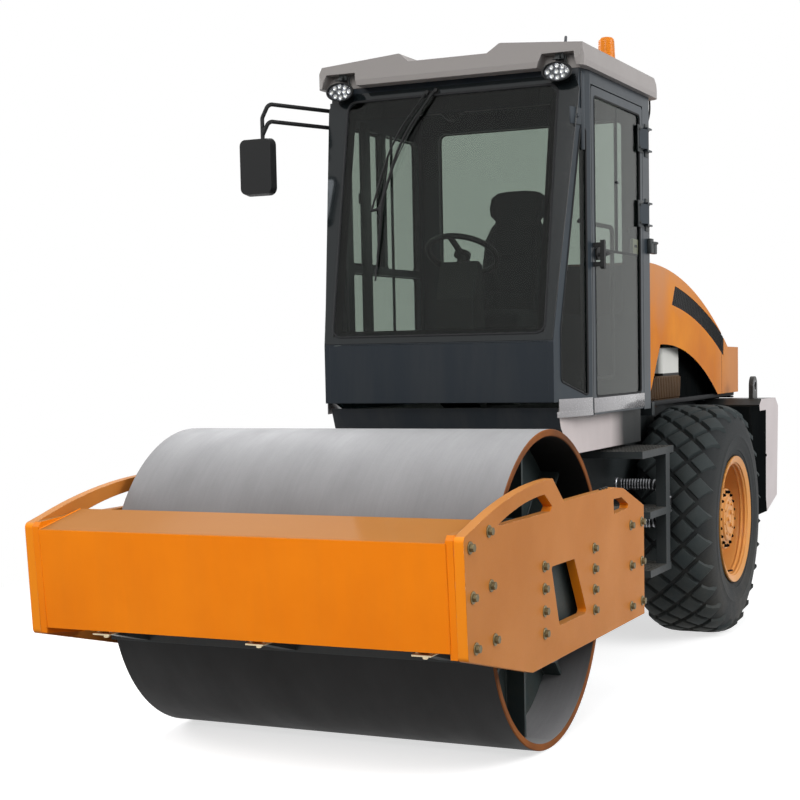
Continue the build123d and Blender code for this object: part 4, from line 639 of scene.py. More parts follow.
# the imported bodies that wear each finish
wornBy = {
    "plateOrange": ("side_plate_left", "side_plate_right"),
    "orangePaint": ("front_beam",),
    "framePaint": (
        "crossbeam", "scrapers", "rear_frame", "rear_axle", "ram_barrel_left", "ram_barrel_right",
        "steps", "side_tank",
    ),
    "drumPaint": ("drum_carriers", "drum_discs"),
    "drumSteel": ("drum_shell",),
    "engineIron": ("engine",),
    "whitePlastic": ("coolant_bottle",),
    "tankBrown": ("hydraulic_tank",),
    "weightPaint": ("rear_weight",),
    # the side boxes wear the darker black as painted shade
    "chassisBlack": ("side_boxes",),
    "tyreRubber": ("tyre_left", "tyre_right"),
    "rimGold": ("rim_left", "rim_right", "hub_left", "hub_right"),
    "chromeRod": ("ram_rod_left", "ram_rod_right"),
    "cabPaint": ("cab_frame", "front_panel", "door"),
    "glassTint": ("windscreen",),
    "sideTint": ("side_glasses", "door_glass"),
    "baseGrey": ("cab_base",),
    "roofSkin": ("roof",),
    "lampLens": ("work_lamps",),
    "beaconAmber": ("beacon",),
    "blackPlastic": ("mirror", "seat_base", "steering_column", "door_grips", "hood_grilles"),
    "seatCloth": ("seat_cushion", "seat_back"),
    "hoodOrange": ("hood",),
}


def dressNodes():
    for choice, names in wornBy.items():
        for name in names:
            mesh = nodes[name].data
            mesh.materials.clear()
            mesh.materials.append(finish[choice])


dressNodes()
print("finishes", len(finish))


# mesh helpers
def turned(axis, degreesTurned):
    return Matrix.Rotation(math.radians(degreesTurned), 4, axis)


def at(x, y, z):
    return Matrix.Translation((x, y, z))


outLeft = turned("X", -90)     # a part's z runs out to the left
outRight = turned("X", 90)     # and here out to the right
outFront = turned("Y", 90)     # out to the front
outBack = turned("Y", -90)     # out to the back
outDown = turned("X", 180)     # down


def sideOut(sign):
    # out to the side that the sign stands for: 1 left, -1 right
    return outLeft if sign > 0 else outRight


def stamp(bm, part, places=(Matrix.Identity(4),), tint=0):
    # puts a copy of a small part into a piece at each place
    mesh = bpy.data.meshes.new("stamp")
    part.to_mesh(mesh)
    for place in places:
        start = len(bm.verts)
        startFace = len(bm.faces)
        bm.from_mesh(mesh)
        bm.verts.ensure_lookup_table()
        bm.faces.ensure_lookup_table()
        bmesh.ops.transform(bm, matrix=place, verts=bm.verts[start:])
        if place.determinant() < 0:
            bmesh.ops.reverse_faces(bm, faces=bm.faces[startFace:])
        if tint:
            for face in bm.faces[startFace:]:
                face.material_index = tint
    bpy.data.meshes.remove(mesh)
    part.free()


def rounded(part, offset, segments=2, edges=None):
    bmesh.ops.bevel(
        part, geom=edges if edges is not None else part.edges[:], offset=offset, offset_type="OFFSET",
        affect="EDGES", segments=segments, profile=0.5, material=-1, clamp_overlap=True,
    )
    return part


def boxPart(length, width, height, rounding=0.002, segments=2):
    part = bmesh.new()
    bmesh.ops.create_cube(part, size=1.0, matrix=Matrix.Diagonal((length, width, height, 1.0)))
    if rounding:
        rounded(part, rounding, segments)
    return part


def lathePart(profile, steps=40):
    # profile of radius and height, spun about z
    part = bmesh.new()
    verts = [part.verts.new((radius, 0.0, height)) for radius, height in profile]
    for first, second in zip(verts, verts[1:]):
        part.edges.new((first, second))
    bmesh.ops.spin(
        part, geom=part.verts[:] + part.edges[:], cent=(0, 0, 0), axis=(0, 0, 1),
        angle=2 * math.pi, steps=steps, use_merge=True,
    )
    bmesh.ops.remove_doubles(part, verts=part.verts[:], dist=0.00002)
    bmesh.ops.recalc_face_normals(part, faces=part.faces[:])
    return part


def platePart(outline, thickness, rounding=0.0, segments=2):
    # flat outline in x and y, thickened up z
    part = bmesh.new()
    face = part.faces.new([part.verts.new((x, y, 0.0)) for x, y in outline])
    lifted = bmesh.ops.extrude_face_region(part, geom=[face], use_keep_orig=True)
    moved = [item for item in lifted["geom"] if isinstance(item, bmesh.types.BMVert)]
    bmesh.ops.translate(part, vec=(0, 0, thickness), verts=moved)
    bmesh.ops.recalc_face_normals(part, faces=part.faces[:])
    if rounding:
        rounded(part, rounding, segments)
    return part


def newCurve(radius, resolution, capped):
    curve = bpy.data.curves.new("curve", "CURVE")
    curve.dimensions = "3D"
    curve.bevel_depth = radius
    curve.bevel_resolution = resolution
    curve.use_fill_caps = capped
    return curve


def fromCurve(curve):
    # the curve's mesh, without the curve
    holder = bpy.data.objects.new("curve", curve)
    mesh = bpy.data.meshes.new_from_object(holder)
    part = bmesh.new()
    part.from_mesh(mesh)
    bpy.data.objects.remove(holder)
    bpy.data.curves.remove(curve)
    bpy.data.meshes.remove(mesh)
    bmesh.ops.remove_doubles(part, verts=part.verts[:], dist=0.00002)
    bmesh.ops.recalc_face_normals(part, faces=part.faces[:])
    return part


def pipePart(points, radius, bend=0.03, sides=10, closed=False):
    # round bar or hose on straight runs with rounded corners
    curve = newCurve(radius, max(0, (sides - 4) // 2), not closed)
    curve.resolution_u = 5
    spline = curve.splines.new("BEZIER")
    path = [Vector(point) for point in points]
    last = len(path) - 1
    stops = []
    for index, point in enumerate(path):
        if not closed and index in (0, last):
            stops.append((point, point, point))
            continue
        before = path[index - 1] - point
        after = path[(index + 1) % len(path)] - point
        run = min(bend, before.length * 0.49, after.length * 0.49)
        inward, outward = before.normalized() * run, after.normalized() * run
        stops.append((point + inward, point + inward, point + inward * 0.45))
        stops.append((point + outward, point + outward * 0.45, point + outward))
    spline.bezier_points.add(len(stops) - 1)
    for knot, (place, left, right) in zip(spline.bezier_points, stops):
        knot.handle_left_type = knot.handle_right_type = "FREE"
        knot.co, knot.handle_left, knot.handle_right = place, left, right
    spline.use_cyclic_u = closed
    return fromCurve(curve)


def boltPart(across=0.03, height=0.018, washer=0.046, sides=6):
    # hexagon head on a round washer, standing on z = 0
    part = bmesh.new()
    bmesh.ops.create_cone(
        part, cap_ends=True, segments=16, radius1=washer / 2, radius2=washer / 2 - 0.0015,
        depth=0.004, matrix=at(0, 0, 0.002),
    )
    head = bmesh.ops.create_cone(
        part, cap_ends=True, segments=sides, radius1=across * 0.577, radius2=across * 0.577,
        depth=height, matrix=at(0, 0, 0.004 + height / 2) @ turned("Z", 11),
    )
    top = [
        edge for edge in part.edges if all(v in head["verts"] and v.co.z > height for v in edge.verts)
    ]
    return rounded(part, 0.0035, 1, top)


def weldPart(start, end, radius=0.005, step=0.006):
    # rippled bead of weld laid in a corner
    start, end = Vector(start), Vector(end)
    count = max(2, int((end - start).length / step))
    curve = newCurve(radius, 1, True)
    spline = curve.splines.new("POLY")
    spline.points.add(count)
    for index, knot in enumerate(spline.points):
        knot.co = (*start.lerp(end, index / count), 1.0)
        knot.radius = 1.0 if index % 2 else 0.8
    return fromCurve(curve)


def loopPart(points, radius, bend):
    # closed round seal
    return pipePart(points, radius, bend, 8, closed=True)


def ringPart(outer, inner):
    # flat ring of quads between two outlines with as many points
    part = bmesh.new()
    outerVerts = [part.verts.new(point) for point in outer]
    innerVerts = [part.verts.new(point) for point in inner]
    for index in range(len(outer)):
        after = (index + 1) % len(outer)
        part.faces.new((outerVerts[index], outerVerts[after], innerVerts[after], innerVerts[index]))
    return part


def finishPiece(name, bm, body, choices, smooth=36.0):
    # sharp edges stay sharp, the rest is shaded smooth
    if isinstance(choices, str):
        choices = (choices,)
    for face in bm.faces:
        face.smooth = True
    for edge in bm.edges:
        if len(edge.link_faces) == 2:
            edge.smooth = edge.calc_face_angle(0.0) < math.radians(smooth)
        else:
            edge.smooth = False
    mesh = bpy.data.meshes.new(name)
    bm.to_mesh(mesh)
    bm.free()
    for choice in choices:
        mesh.materials.append(finish[choice])
    piece = bpy.data.objects.new(name, mesh)
    bpy.context.scene.collection.objects.link(piece)
    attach(piece, body)
    return piece


facetLength = math.hypot(cabHalf - frontHalf, cornerRun)


def facetFrame(sign):
    # frame of a front corner's facet: x back along it, y outward, z up
    run = Vector((-cornerRun, sign * (cabHalf - frontHalf), 0)).normalized()
    out = Vector((-run.y * sign, run.x * -sign, 0))
    origin = Vector((cabHigh.x, sign * frontHalf, 0))
    frameMatrix = Matrix((run, out, Vector((0, 0, 1)))).transposed().to_4x4()
    return Matrix.Translation(origin) @ frameMatrix


def onScreen(y, z, out=0.0):
    # a point on the windscreen's leaning face
    return Vector((cabHigh.x - screenLean * (z - screenFoot) + out, y, z + out * screenLean))


# front frame
plateBolts = {
    # distance ahead of the drum's axle and height, on each side plate
    "spots": (
        (0.327, 0.873), (0.327, 0.776), (0.327, 0.679), (0.327, 0.582),
        (-0.342, 0.873), (-0.342, 0.776), (-0.342, 0.679), (-0.342, 0.582),
        (0.945, 1.093), (1.136, 1.05), (0.928, 0.875), (1.115, 0.854), (0.896, 0.654), (1.092, 0.651),
        (-0.916, 0.919), (-0.916, 0.717), (-0.916, 0.512),
        (-1.1, 0.919), (-1.1, 0.717), (-1.1, 0.512),
    ),
    "bore": 0.012,
    "washer": 0.0255,
}


def makePlateBolts(spec):
    # thick washers under the plates' bolt heads
    bm = bmesh.new()
    bore, washer = spec["bore"], spec["washer"]
    profile = ((bore, 0), (washer, 0), (washer, 0.003), (washer - 0.002, 0.005), (bore, 0.005))
    for ahead, height in spec["spots"]:
        for sign in (1, -1):
            place = at(drumCentre.x + ahead, plateFace * sign, height) @ sideOut(sign)
            stamp(bm, lathePart(profile, 24), [place])
    finishPiece("plateWashers", bm, "front_unit", "zincPlate")


beamTrim = {
    "tabSpots": (-0.718, 0.047, 0.805),     # across the beam
    "tabBack": 0.135,                       # behind the beam's face
    "tabSize": (0.085, 0.085, 0.008),
    "floor": 0.638,                         # the beam's underside
    "inner": 0.033,                         # the side plates' thickness
    "weld": 0.0055,
    "lip": (0.955, 1.066, 0.0075),          # half length, height and radius
}


def makeBeamTrim(spec):
    tabs = bmesh.new()
    tabX = beamHigh.x - spec["tabBack"]
    floorZ = spec["floor"]
    for y in spec["tabSpots"]:
        stamp(tabs, boxPart(*spec["tabSize"], 0.002), [at(tabX, y, floorZ - 0.026)])
        webs = [at(tabX - 0.01, y + shift, floorZ - 0.011) for shift in (-0.03, 0.03)]
        stamp(tabs, boxPart(0.05, 0.012, 0.026, 0.001), webs)
        stamp(tabs, boltPart(0.022, 0.012, 0.034), [at(tabX, y, floorZ - 0.03) @ outDown])
    finishPiece("beamTabs", tabs, "front_unit", "brightZinc")
    welds = bmesh.new()
    for sign in (-1, 1):
        inner = (beamHigh.y - spec["inner"]) * sign
        for start, end in (
            ((beamHigh.x - 0.003, inner, 1.068), (beamHigh.x - 0.034, inner, 0.642)),
            ((beamHigh.x - 0.004, inner, 1.071), (beamLow.x + 0.004, inner, 1.131)),
        ):
            stamp(welds, weldPart(start, end, spec["weld"]))
    # long folded lip along the top of the face
    half, height, radius = spec["lip"]
    lipX = beamHigh.x - 0.009
    stamp(welds, pipePart(((lipX, -half, height), (lipX, half, height)), radius, 0.0, 8))
    finishPiece("beamWelds", welds, "front_unit", "orangePaint", 50.0)


plateStuds = {
    "spots": (-0.5, -0.545, -0.59),         # ahead of the drum's axle
    "inset": 0.02,
    "height": 1.1302,
    "profile": ((0, 0), (0.008, 0), (0.008, 0.007), (0.005, 0.01), (0, 0.01)),
}


def makePlateTrim(spec):
    # small studs on top of each side plate
    bm = bmesh.new()
    for sign in (1, -1):
        for ahead in spec["spots"]:
            place = at(drumCentre.x + ahead, (plateFace - spec["inset"]) * sign, spec["height"])
            stamp(bm, lathePart(spec["profile"], 10), [place])
    finishPiece("plateStuds", bm, "front_unit", "framePaint")


hitchTrim = {
    "weldFoot": (0.6935, 0.49, 0.98),       # x, and heights of its ends
    "weldTop": ((0.706, 0.98), (0.872, 0.958)),
    "caps": (0.954, 0.4875),                # heights of the upper and the lower cap
    "capProfile": (
        (0, 0), (0.066, 0), (0.066, 0.008), (0.062, 0.012), (0.02, 0.012), (0.018, 0.016), (0, 0.016),
    ),
    "boltCircle": 0.046,
    "boltSink": 0.011,
}


def makeHitchCaps(spec):
    # welds along the crossbeam's ends, hinge pin caps with their bolts
    bm = bmesh.new()
    footX, footLow, footHigh = spec["weldFoot"]
    (rearX, rearZ), (frontX, frontZ) = spec["weldTop"]
    for sign in (-1, 1):
        inner = (plateLow.y - 0.004) * sign
        stamp(bm, weldPart((rearX, inner, rearZ), (frontX, inner, frontZ), 0.006))
        stamp(bm, weldPart((footX, inner, footLow), (footX, inner, footHigh), 0.006))
    for height, flip in zip(spec["caps"], (Matrix.Identity(4), outDown)):
        cap = at(pivotX, 0, height) @ flip
        stamp(bm, lathePart(spec["capProfile"], 32), [cap])
        for turn in range(4):
            angle = math.radians(45 + turn * 90)
            x, y = spec["boltCircle"] * math.cos(angle), spec["boltCircle"] * math.sin(angle)
            bolt = at(pivotX + x, y, height) @ flip @ at(0, 0, spec["boltSink"])
            stamp(bm, boltPart(0.018, 0.01, 0.026), [bolt])
    finishPiece("hitchCaps", bm, "front_unit", "framePaint")


hitchHoses = {
    "across": (-0.155, -0.115, 0.115, 0.155),
    "radius": 0.013,
    "rise": 0.02,                           # every other hose lies this much higher
    "fitting": ((0, 0), (0.021, 0), (0.021, 0.035), (0.015, 0.04), (0, 0.04)),
}


def makeHitchHoses(spec):
    # hydraulic hoses over the hinge, each from its fitting on the crossbeam
    bm = bmesh.new()
    for index, y in enumerate(spec["across"]):
        lift = spec["rise"] * (index % 2)
        path = (
            (0.79, y, 0.985), (0.79, y, 1.06 + lift), (0.6, y, 1.1 + lift),
            (pivotX + 0.02, y * 0.8, 1.13 + lift), (0.2, y * 0.9, 1.12 + lift), (0.09, y, 1.07),
            (0.045, y, 1.07),
        )
        stamp(bm, pipePart(path, spec["radius"], 0.07, 10))
        stamp(bm, lathePart(spec["fitting"], 6), [at(0.79, y, 0.975)])
    finishPiece("hitchHoses", bm, "rear_unit", "blackRubber")


drumTrim = {
    "flange": 0.81, "flangeCircle": 0.155, "flangeBolts": 12,
    "disc": 0.72, "plugCircle": 0.47, "plugs": 4,
    "plugProfile": (
        (0, 0), (0.05, 0), (0.05, 0.012), (0.044, 0.016), (0.02, 0.016), (0.018, 0.026), (0, 0.026),
    ),
    "gussets": 8, "gussetHalf": 0.0125, "gussetRun": (0.33, 0.685),
}


def roundDrum(circle, y, degreesTurned):
    # place on a circle round the drum's axle
    angle = math.radians(degreesTurned)
    return at(drumCentre.x + circle * math.sin(angle), y, drumCentre.z + circle * math.cos(angle))


def makeDrumBolts(spec):
    bm = bmesh.new()
    for sign in (1, -1):
        for turn in range(spec["flangeBolts"]):
            place = roundDrum(spec["flangeCircle"], spec["flange"] * sign, turn * 30 + 8)
            stamp(bm, boltPart(0.024, 0.014, 0.036), [place @ sideOut(sign)])
        for turn in range(spec["plugs"]):
            place = roundDrum(spec["plugCircle"], spec["disc"] * sign, turn * 90 + 22.5)
            stamp(bm, lathePart(spec["plugProfile"], 24), [place @ sideOut(sign)])
    finishPiece("drumBolts", bm, "drum", "drumPaint")


def makeGussetWelds(spec):
    # beads along both sides of each gusset on the drum's discs
    bm = bmesh.new()
    inner, outer = spec["gussetRun"]
    for sign in (1, -1):
        for turn in range(spec["gussets"]):
            angle = math.radians(turn * 45)
            out = Vector((math.sin(angle), 0, math.cos(angle)))
            run = Vector((math.cos(angle), 0, -math.sin(angle)))
            for shift in (-spec["gussetHalf"], spec["gussetHalf"]):
                start = drumCentre + out * inner + run * shift
                end = drumCentre + out * outer + run * shift
                start.y = end.y = (spec["disc"] + 0.001) * sign
                stamp(bm, weldPart(start, end, 0.006, 0.009))
    finishPiece("gussetWelds", bm, "drum", "drumPaint", 50.0)


bufferCaps = {
    "circle": 0.24,
    "count": 6,
    "across": (0.929, 0.862),               # the buffers' outer and inner ends
    "profile": ((0, 0), (0.052, 0), (0.052, 0.008), (0, 0.008)),
}


def makeBufferCaps(spec):
    # steel caps on both ends of the rubber buffers between plate and drum
    bm = bmesh.new()
    for sign in (1, -1):
        for turn in range(spec["count"]):
            angle = math.radians(turn * 60)
            x = drumCentre.x + spec["circle"] * math.cos(angle)
            z = drumCentre.z + spec["circle"] * math.sin(angle)
            for y in spec["across"]:
                stamp(bm, lathePart(spec["profile"], 24), [at(x, y * sign, z) @ sideOut(-sign)])
    finishPiece("bufferCaps", bm, "front_unit", "drumPaint")


makePlateBolts(plateBolts)
makeBeamTrim(beamTrim)
makePlateTrim(plateStuds)
makeHitchCaps(hitchTrim)
makeHitchHoses(hitchHoses)
makeDrumBolts(drumTrim)
makeGussetWelds(drumTrim)
makeBufferCaps(bufferCaps)
print("front frame and drum")


# wheels
tyreShape = {
    "around": 26,                 # lugs in a turn
    "columns": (-2, -1, 0, 1, 2),
    "columnStep": 0.088,
    "lugAxial": 0.067,            # half of a lug's diagonal across the tread
    "lugRound": 0.066,
    "groove": 0.024,
    "rolled": 0.719,              # radius at which the flat tread is wrapped
    "halfTread": 0.249,
    "crown": (0.7188, 0.1, 0.15, 0.05, 0.012),
    "carcass": (
        # radius and distance from the tyre's middle, one half
        (0.372, 0.207), (0.384, 0.212), (0.402, 0.223), (0.42, 0.231), (0.43, 0.2335),
        (0.434, 0.238), (0.442, 0.2385), (0.447, 0.2375), (0.47, 0.2435), (0.5, 0.2475),
        (0.512, 0.2482), (0.516, 0.25), (0.522, 0.25), (0.526, 0.2484), (0.56, 0.248),
        (0.6, 0.244), (0.632, 0.236), (0.658, 0.223), (0.676, 0.204), (0.687, 0.175),
        (0.693, 0.13), (0.695, 0.06), (0.6955, 0.0),
    ),
}


def crownRadius(across):
    # the tread's outer face: flat in the middle, rolling off to the shoulders
    radius, flat, run, curl, slope = tyreShape["crown"]
    share = max(0.0, abs(across) - flat) / run
    return radius - curl * share * share * share - slope * share


def lugPart(spec, depth):
    part = bmesh.new()
    axial, around = spec["lugAxial"], spec["lugRound"]
    corners = ((around, 0), (around * 0.5, axial * 0.5), (0, axial), (-around * 0.5, axial * 0.5),
               (-around, 0), (-around * 0.5, -axial * 0.5), (0, -axial), (around * 0.5, -axial * 0.5))
    face = part.faces.new([part.verts.new((x, y, 0.0)) for x, y in corners])
    lifted = bmesh.ops.extrude_face_region(part, geom=[face], use_keep_orig=False)
    base = [item for item in lifted["geom"] if isinstance(item, bmesh.types.BMVert)]
    bmesh.ops.translate(part, vec=(0, 0, -depth), verts=base)
    bmesh.ops.scale(part, vec=(1.09, 1.09, 1.0), verts=base)
    bmesh.ops.recalc_face_normals(part, faces=part.faces[:])
    top = [edge for edge in part.edges if all(v.co.z > -0.001 for v in edge.verts)]
    rounded(part, 0.0035, 2, top)
    lids = [f for f in part.faces if len(f.verts) > 4 and f.calc_center_median().z > -0.003]
    bmesh.ops.poke(part, faces=lids)
    return part


def makeTyre(spec, side, sign):
    axle = Vector((tyreCentre.x, tyreCentre.y * sign, tyreCentre.z))
    bm = bmesh.new()
    half = spec["carcass"]
    profile = [(radius, -across) for radius, across in half] + list(reversed(half[:-1]))
    stamp(bm, lathePart(profile, 120), [at(*axle) @ outLeft])
    step = 2 * math.pi * spec["rolled"] / spec["around"]
    start = len(bm.verts)
    for column in spec["columns"]:
        stagger = 0.5 if column % 2 else 0.0
        for turn in range(spec["around"]):
            place = at((turn + stagger) * step, column * spec["columnStep"], 0)
            stamp(bm, lugPart(spec, spec["groove"] + 0.006), [place], 1)
    bm.verts.ensure_lookup_table()
    for vert in bm.verts[start:]:
        # wrap the flat tread round the tyre
        run, across, lift = vert.co
        across = max(-spec["halfTread"], min(spec["halfTread"], across))
        angle = run / spec["rolled"] + math.pi
        radius = crownRadius(across) + lift
        vert.co = axle + Vector((radius * math.sin(angle), across, radius * math.cos(angle)))
    surfaces = ("tyreGroove", "tyreRubber")
    piece = finishPiece("tyreTread" + side, bm, "wheel_" + side.lower(), surfaces, 32.0)
    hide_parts("tyre_" + side.lower())


wheelTrim = {
    "flange": 0.717,                        # the hub flange's outer face
    "nuts": (12, 0.196), "coverBolts": (8, 0.104), "flangeBolts": (18, 0.171),
    "plugs": (3, 0.045),
    # radius and distance out from the hub's face, or from the rim's for the lips and beads
    "stud": ((0, 0), (0.008, 0), (0.008, 0.036), (0.006, 0.038), (0, 0.038)),
    "cover": (
        (0.135, -0.004), (0.135, 0.002), (0.131, 0.0045), (0.122, 0.005), (0.119, 0.002),
        (0.09, 0.002), (0.086, 0.006), (0.06, 0.0075), (0.056, 0.005), (0.03, 0.005),
        (0.027, 0.009), (0.0, 0.0095),
    ),
    "flangeRing": (
        (0.138, -0.06), (0.186, -0.06), (0.19, -0.052), (0.192, -0.02), (0.188, -0.014),
        (0.156, -0.014), (0.15, -0.008), (0.138, -0.006),
    ),
    "lips": (
        (
            (0.376, -0.016), (0.383, -0.01), (0.388, -0.002), (0.393, 0.0), (0.3965, -0.003),
            (0.3965, -0.012), (0.39, -0.016), (0.376, -0.016),
        ),
        (
            (0.345, -0.085), (0.352, -0.078), (0.356, -0.06), (0.352, -0.06), (0.348, -0.075),
            (0.341, -0.083), (0.345, -0.085),
        ),
    ),
    "steps": (0.03, 0.056),                 # depths of the bead seats
    "barrel": (0.356, 0.203),               # the barrel's radius near its edge, and its taper
    "bead": ((0.006, -0.011), (-0.004, -0.006), (-0.006, 0.0), (-0.004, 0.006), (0.006, 0.011)),
    # distance in from the rim's face and below the axle
    "valve": ((0.085, -0.348), (0.05, -0.33), (0.025, -0.326)),
}


def makeWheelTrim(spec, side, sign):
    bm = bmesh.new()
    turn = sideOut(sign)
    axle = Vector((tyreCentre.x, 0, tyreCentre.z))
    body = "wheel_" + side.lower()

    def ring(name, y, phase=0.0):
        count, circle = spec[name]
        for index in range(count):
            angle = math.radians(phase + index * 360.0 / count)
            yield at(axle.x + circle * math.sin(angle), y, axle.z + circle * math.cos(angle)) @ turn

    flange, face = spec["flange"] * sign, hubHigh.y * sign
    middle = at(axle.x, face, axle.z) @ turn
    stamp(bm, boltPart(0.027, 0.02, 0.04), list(ring("nuts", flange)))
    stamp(bm, lathePart(spec["stud"], 10), list(ring("nuts", flange)))
    coverBolts = list(ring("coverBolts", face - 0.0025 * sign, 11))
    stamp(bm, boltPart(0.017, 0.009, 0.024), coverBolts)
    stamp(bm, lathePart(spec["cover"], 48), [middle])
    stamp(bm, boltPart(0.024, 0.01, 0.032), list(ring("plugs", face + 0.005 * sign, 90)))
    # flange round the hub's cover, with its own ring of dark bolts
    stamp(bm, lathePart(spec["flangeRing"], 64), [middle])
    flangeBolts = list(ring("flangeBolts", face - 0.014 * sign, 5))
    stamp(bm, boltPart(0.016, 0.012, 0.024), flangeBolts, 1)
    finishPiece("wheelNuts" + side, bm, body, ("rimGold", "chassisBlack"))
    # lock ring's lips round the rim's edge, and bead seats rolled into the barrel
    lip = bmesh.new()
    rimFace = rimHigh.y * sign
    edge = at(axle.x, rimFace, axle.z) @ turn
    for profile in spec["lips"]:
        stamp(lip, lathePart(profile, 96), [edge])
    radius, taper = spec["barrel"]
    for depth in spec["steps"]:
        wall = radius - taper * (depth - 0.012)
        bead = [(wall + rise, -depth + along) for rise, along in spec["bead"]]
        stamp(lip, lathePart(bead, 96), [edge])
    finishPiece("rimLip" + side, lip, body, "rimGold")
    valve = bmesh.new()
    stops = [(axle.x, rimFace - inset * sign, axle.z + below) for inset, below in spec["valve"]]
    stamp(valve, pipePart(stops, 0.006, 0.02, 8))
    finishPiece("valve" + side, valve, body, "blackRubber")


for side, sign in (("Left", 1), ("Right", -1)):
    makeTyre(tyreShape, side, sign)
    makeWheelTrim(wheelTrim, side, sign)
print("wheels")


# roof, lamps and beacon
lampShape = {
    "y": 0.62, "z": 3.205, "face": 0.7615,
    "width": 0.162, "height": 0.098, "depth": 0.052,
    # share of the size, and distance behind the face
    "shell": (
        (0.4, -0.052), (0.72, -0.04472), (0.88, -0.026), (1.0, -0.014), (1.0, -0.002),
        (0.97, 0.0), (0.9, 0.0), (0.875, -0.004), (0.86, -0.014),
    ),
    "glass": ((0.868, -0.006), (0.78, -0.0035), (0.45, -0.002)),
    "back": ((0.862, -0.013), (0.84, -0.015)),
    "cups": (
        (-0.052, 0.0), (-0.03, 0.021), (-0.03, -0.021), (-0.004, 0.0), (0.0, 0.029), (0.0, -0.029),
        (0.03, 0.021), (0.03, -0.021), (0.052, 0.0), (0.024, 0.0),
    ),
    "bowl": ((0.0125, 0.0045), (0.0118, 0.0045), (0.0095, 0.0015), (0.006, 0.0003), (0.0, 0.0)),
    "dome": ((0.0042, 0.0), (0.0038, 0.002), (0.0022, 0.0036), (0.0, 0.004)),
    "boss": ((0, 0), (0.013, 0), (0.013, 0.01), (0.01, 0.013), (0, 0.013)),
    "lead": ((0.03, -0.01, -0.052), (0.03, 0.03, -0.072), (0.03, 0.085, -0.064)),
}


def ovalPart(stops, spec, capped, steps=44):
    # rings of an oval, joined with quads; the capped ring is closed
    part = bmesh.new()
    turns = [2 * math.pi * step / steps for step in range(steps)]
    width, height = 0.5 * spec["width"], 0.5 * spec["height"]
    rings = [
        [
            part.verts.new((width * share * math.cos(a), height * share * math.sin(a), along))
            for a in turns
        ]
        for share, along in stops
    ]
    for first, second in zip(rings, rings[1:]):
        for step in range(steps):
            after = (step + 1) % steps
            part.faces.new((first[step], first[after], second[after], second[step]))
    part.faces.new(rings[capped])
    bmesh.ops.recalc_face_normals(part, faces=part.faces[:])
    return part


def makeWorkLamps(spec):
    housing, lens, cups, metal = bmesh.new(), bmesh.new(), bmesh.new(), bmesh.new()
    # the lamp's own plane: x to the machine's right, y up, z out to the front
    facing = turned("Z", 90) @ turned("X", 90) @ turned("X", 6)
    for sign in (-1, 1):
        place = at(spec["face"], spec["y"] * sign, spec["z"]) @ facing
        stamp(housing, ovalPart(spec["shell"], spec, 0), [place])
        for fin in range(-3, 4):
            behind = place @ at(fin * 0.013, 0, -spec["depth"] * 0.93)
            stamp(housing, boxPart(0.004, 0.05, 0.016, 0.001), [behind])
        stamp(lens, ovalPart(spec["glass"], spec, -1), [place])
        stamp(cups, ovalPart(spec["back"], spec, -1), [place], 2)
        for x, y in spec["cups"]:
            stamp(cups, lathePart(spec["bowl"], 16), [place @ at(x, y, -0.0145)])
            stamp(cups, lathePart(spec["dome"], 10), [place @ at(x, y, -0.0143)], 1)
        # bracket: a folded strap from the recess in the roof, with its clamp bolt
        stamp(metal, boxPart(0.046, 0.004, 0.06, 0.0015), [place @ at(0, 0.062, -0.03)])
        stamp(metal, boxPart(0.046, 0.05, 0.004, 0.0015), [place @ at(0, 0.08, -0.058)])
        stamp(metal, lathePart(spec["boss"], 14), [place @ at(0, 0.06, -0.022) @ outLeft])
        stamp(metal, boltPart(0.013, 0.006, 0.02), [place @ at(0, 0.078, -0.055)])
        stamp(metal, pipePart([place @ Vector(stop) for stop in spec["lead"]], 0.004, 0.02, 8))
    piece = finishPiece("lampHousings", housing, "rear_unit", "blackPlastic")
    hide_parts("work_lamps")
    reflecting = ("lampReflector", "lampLed", "greyPlastic")
    finishPiece("lampReflectors", cups, "rear_unit", reflecting)
    finishPiece("lampLenses", lens, "rear_unit", "lampLens", 60.0)
    finishPiece("lampBrackets", metal, "rear_unit", "framePaint")


makeWorkLamps(lampShape)


beaconShape = {
    "sink": 0.0055,
    "base": (
        (0, -0.0055), (0.058, -0.0055), (0.058, 0.008), (0.055, 0.012), (0.053, 0.02), (0.049, 0.024),
        (0.049, 0.03), (0, 0.03)
    ),
    "bolts": 3, "boltCircle": 0.0545, "boltHeight": 0.0095, "ribs": 9, "foot": (0.0475, 0.049),
    "taper": 0.005,
    "core": (
        (0, 0.03), (0.034, 0.03), (0.034, 0.036), (0.012, 0.05), (0.012, 0.085), (0.02, 0.1),
        (0, 0.1)
    )
}


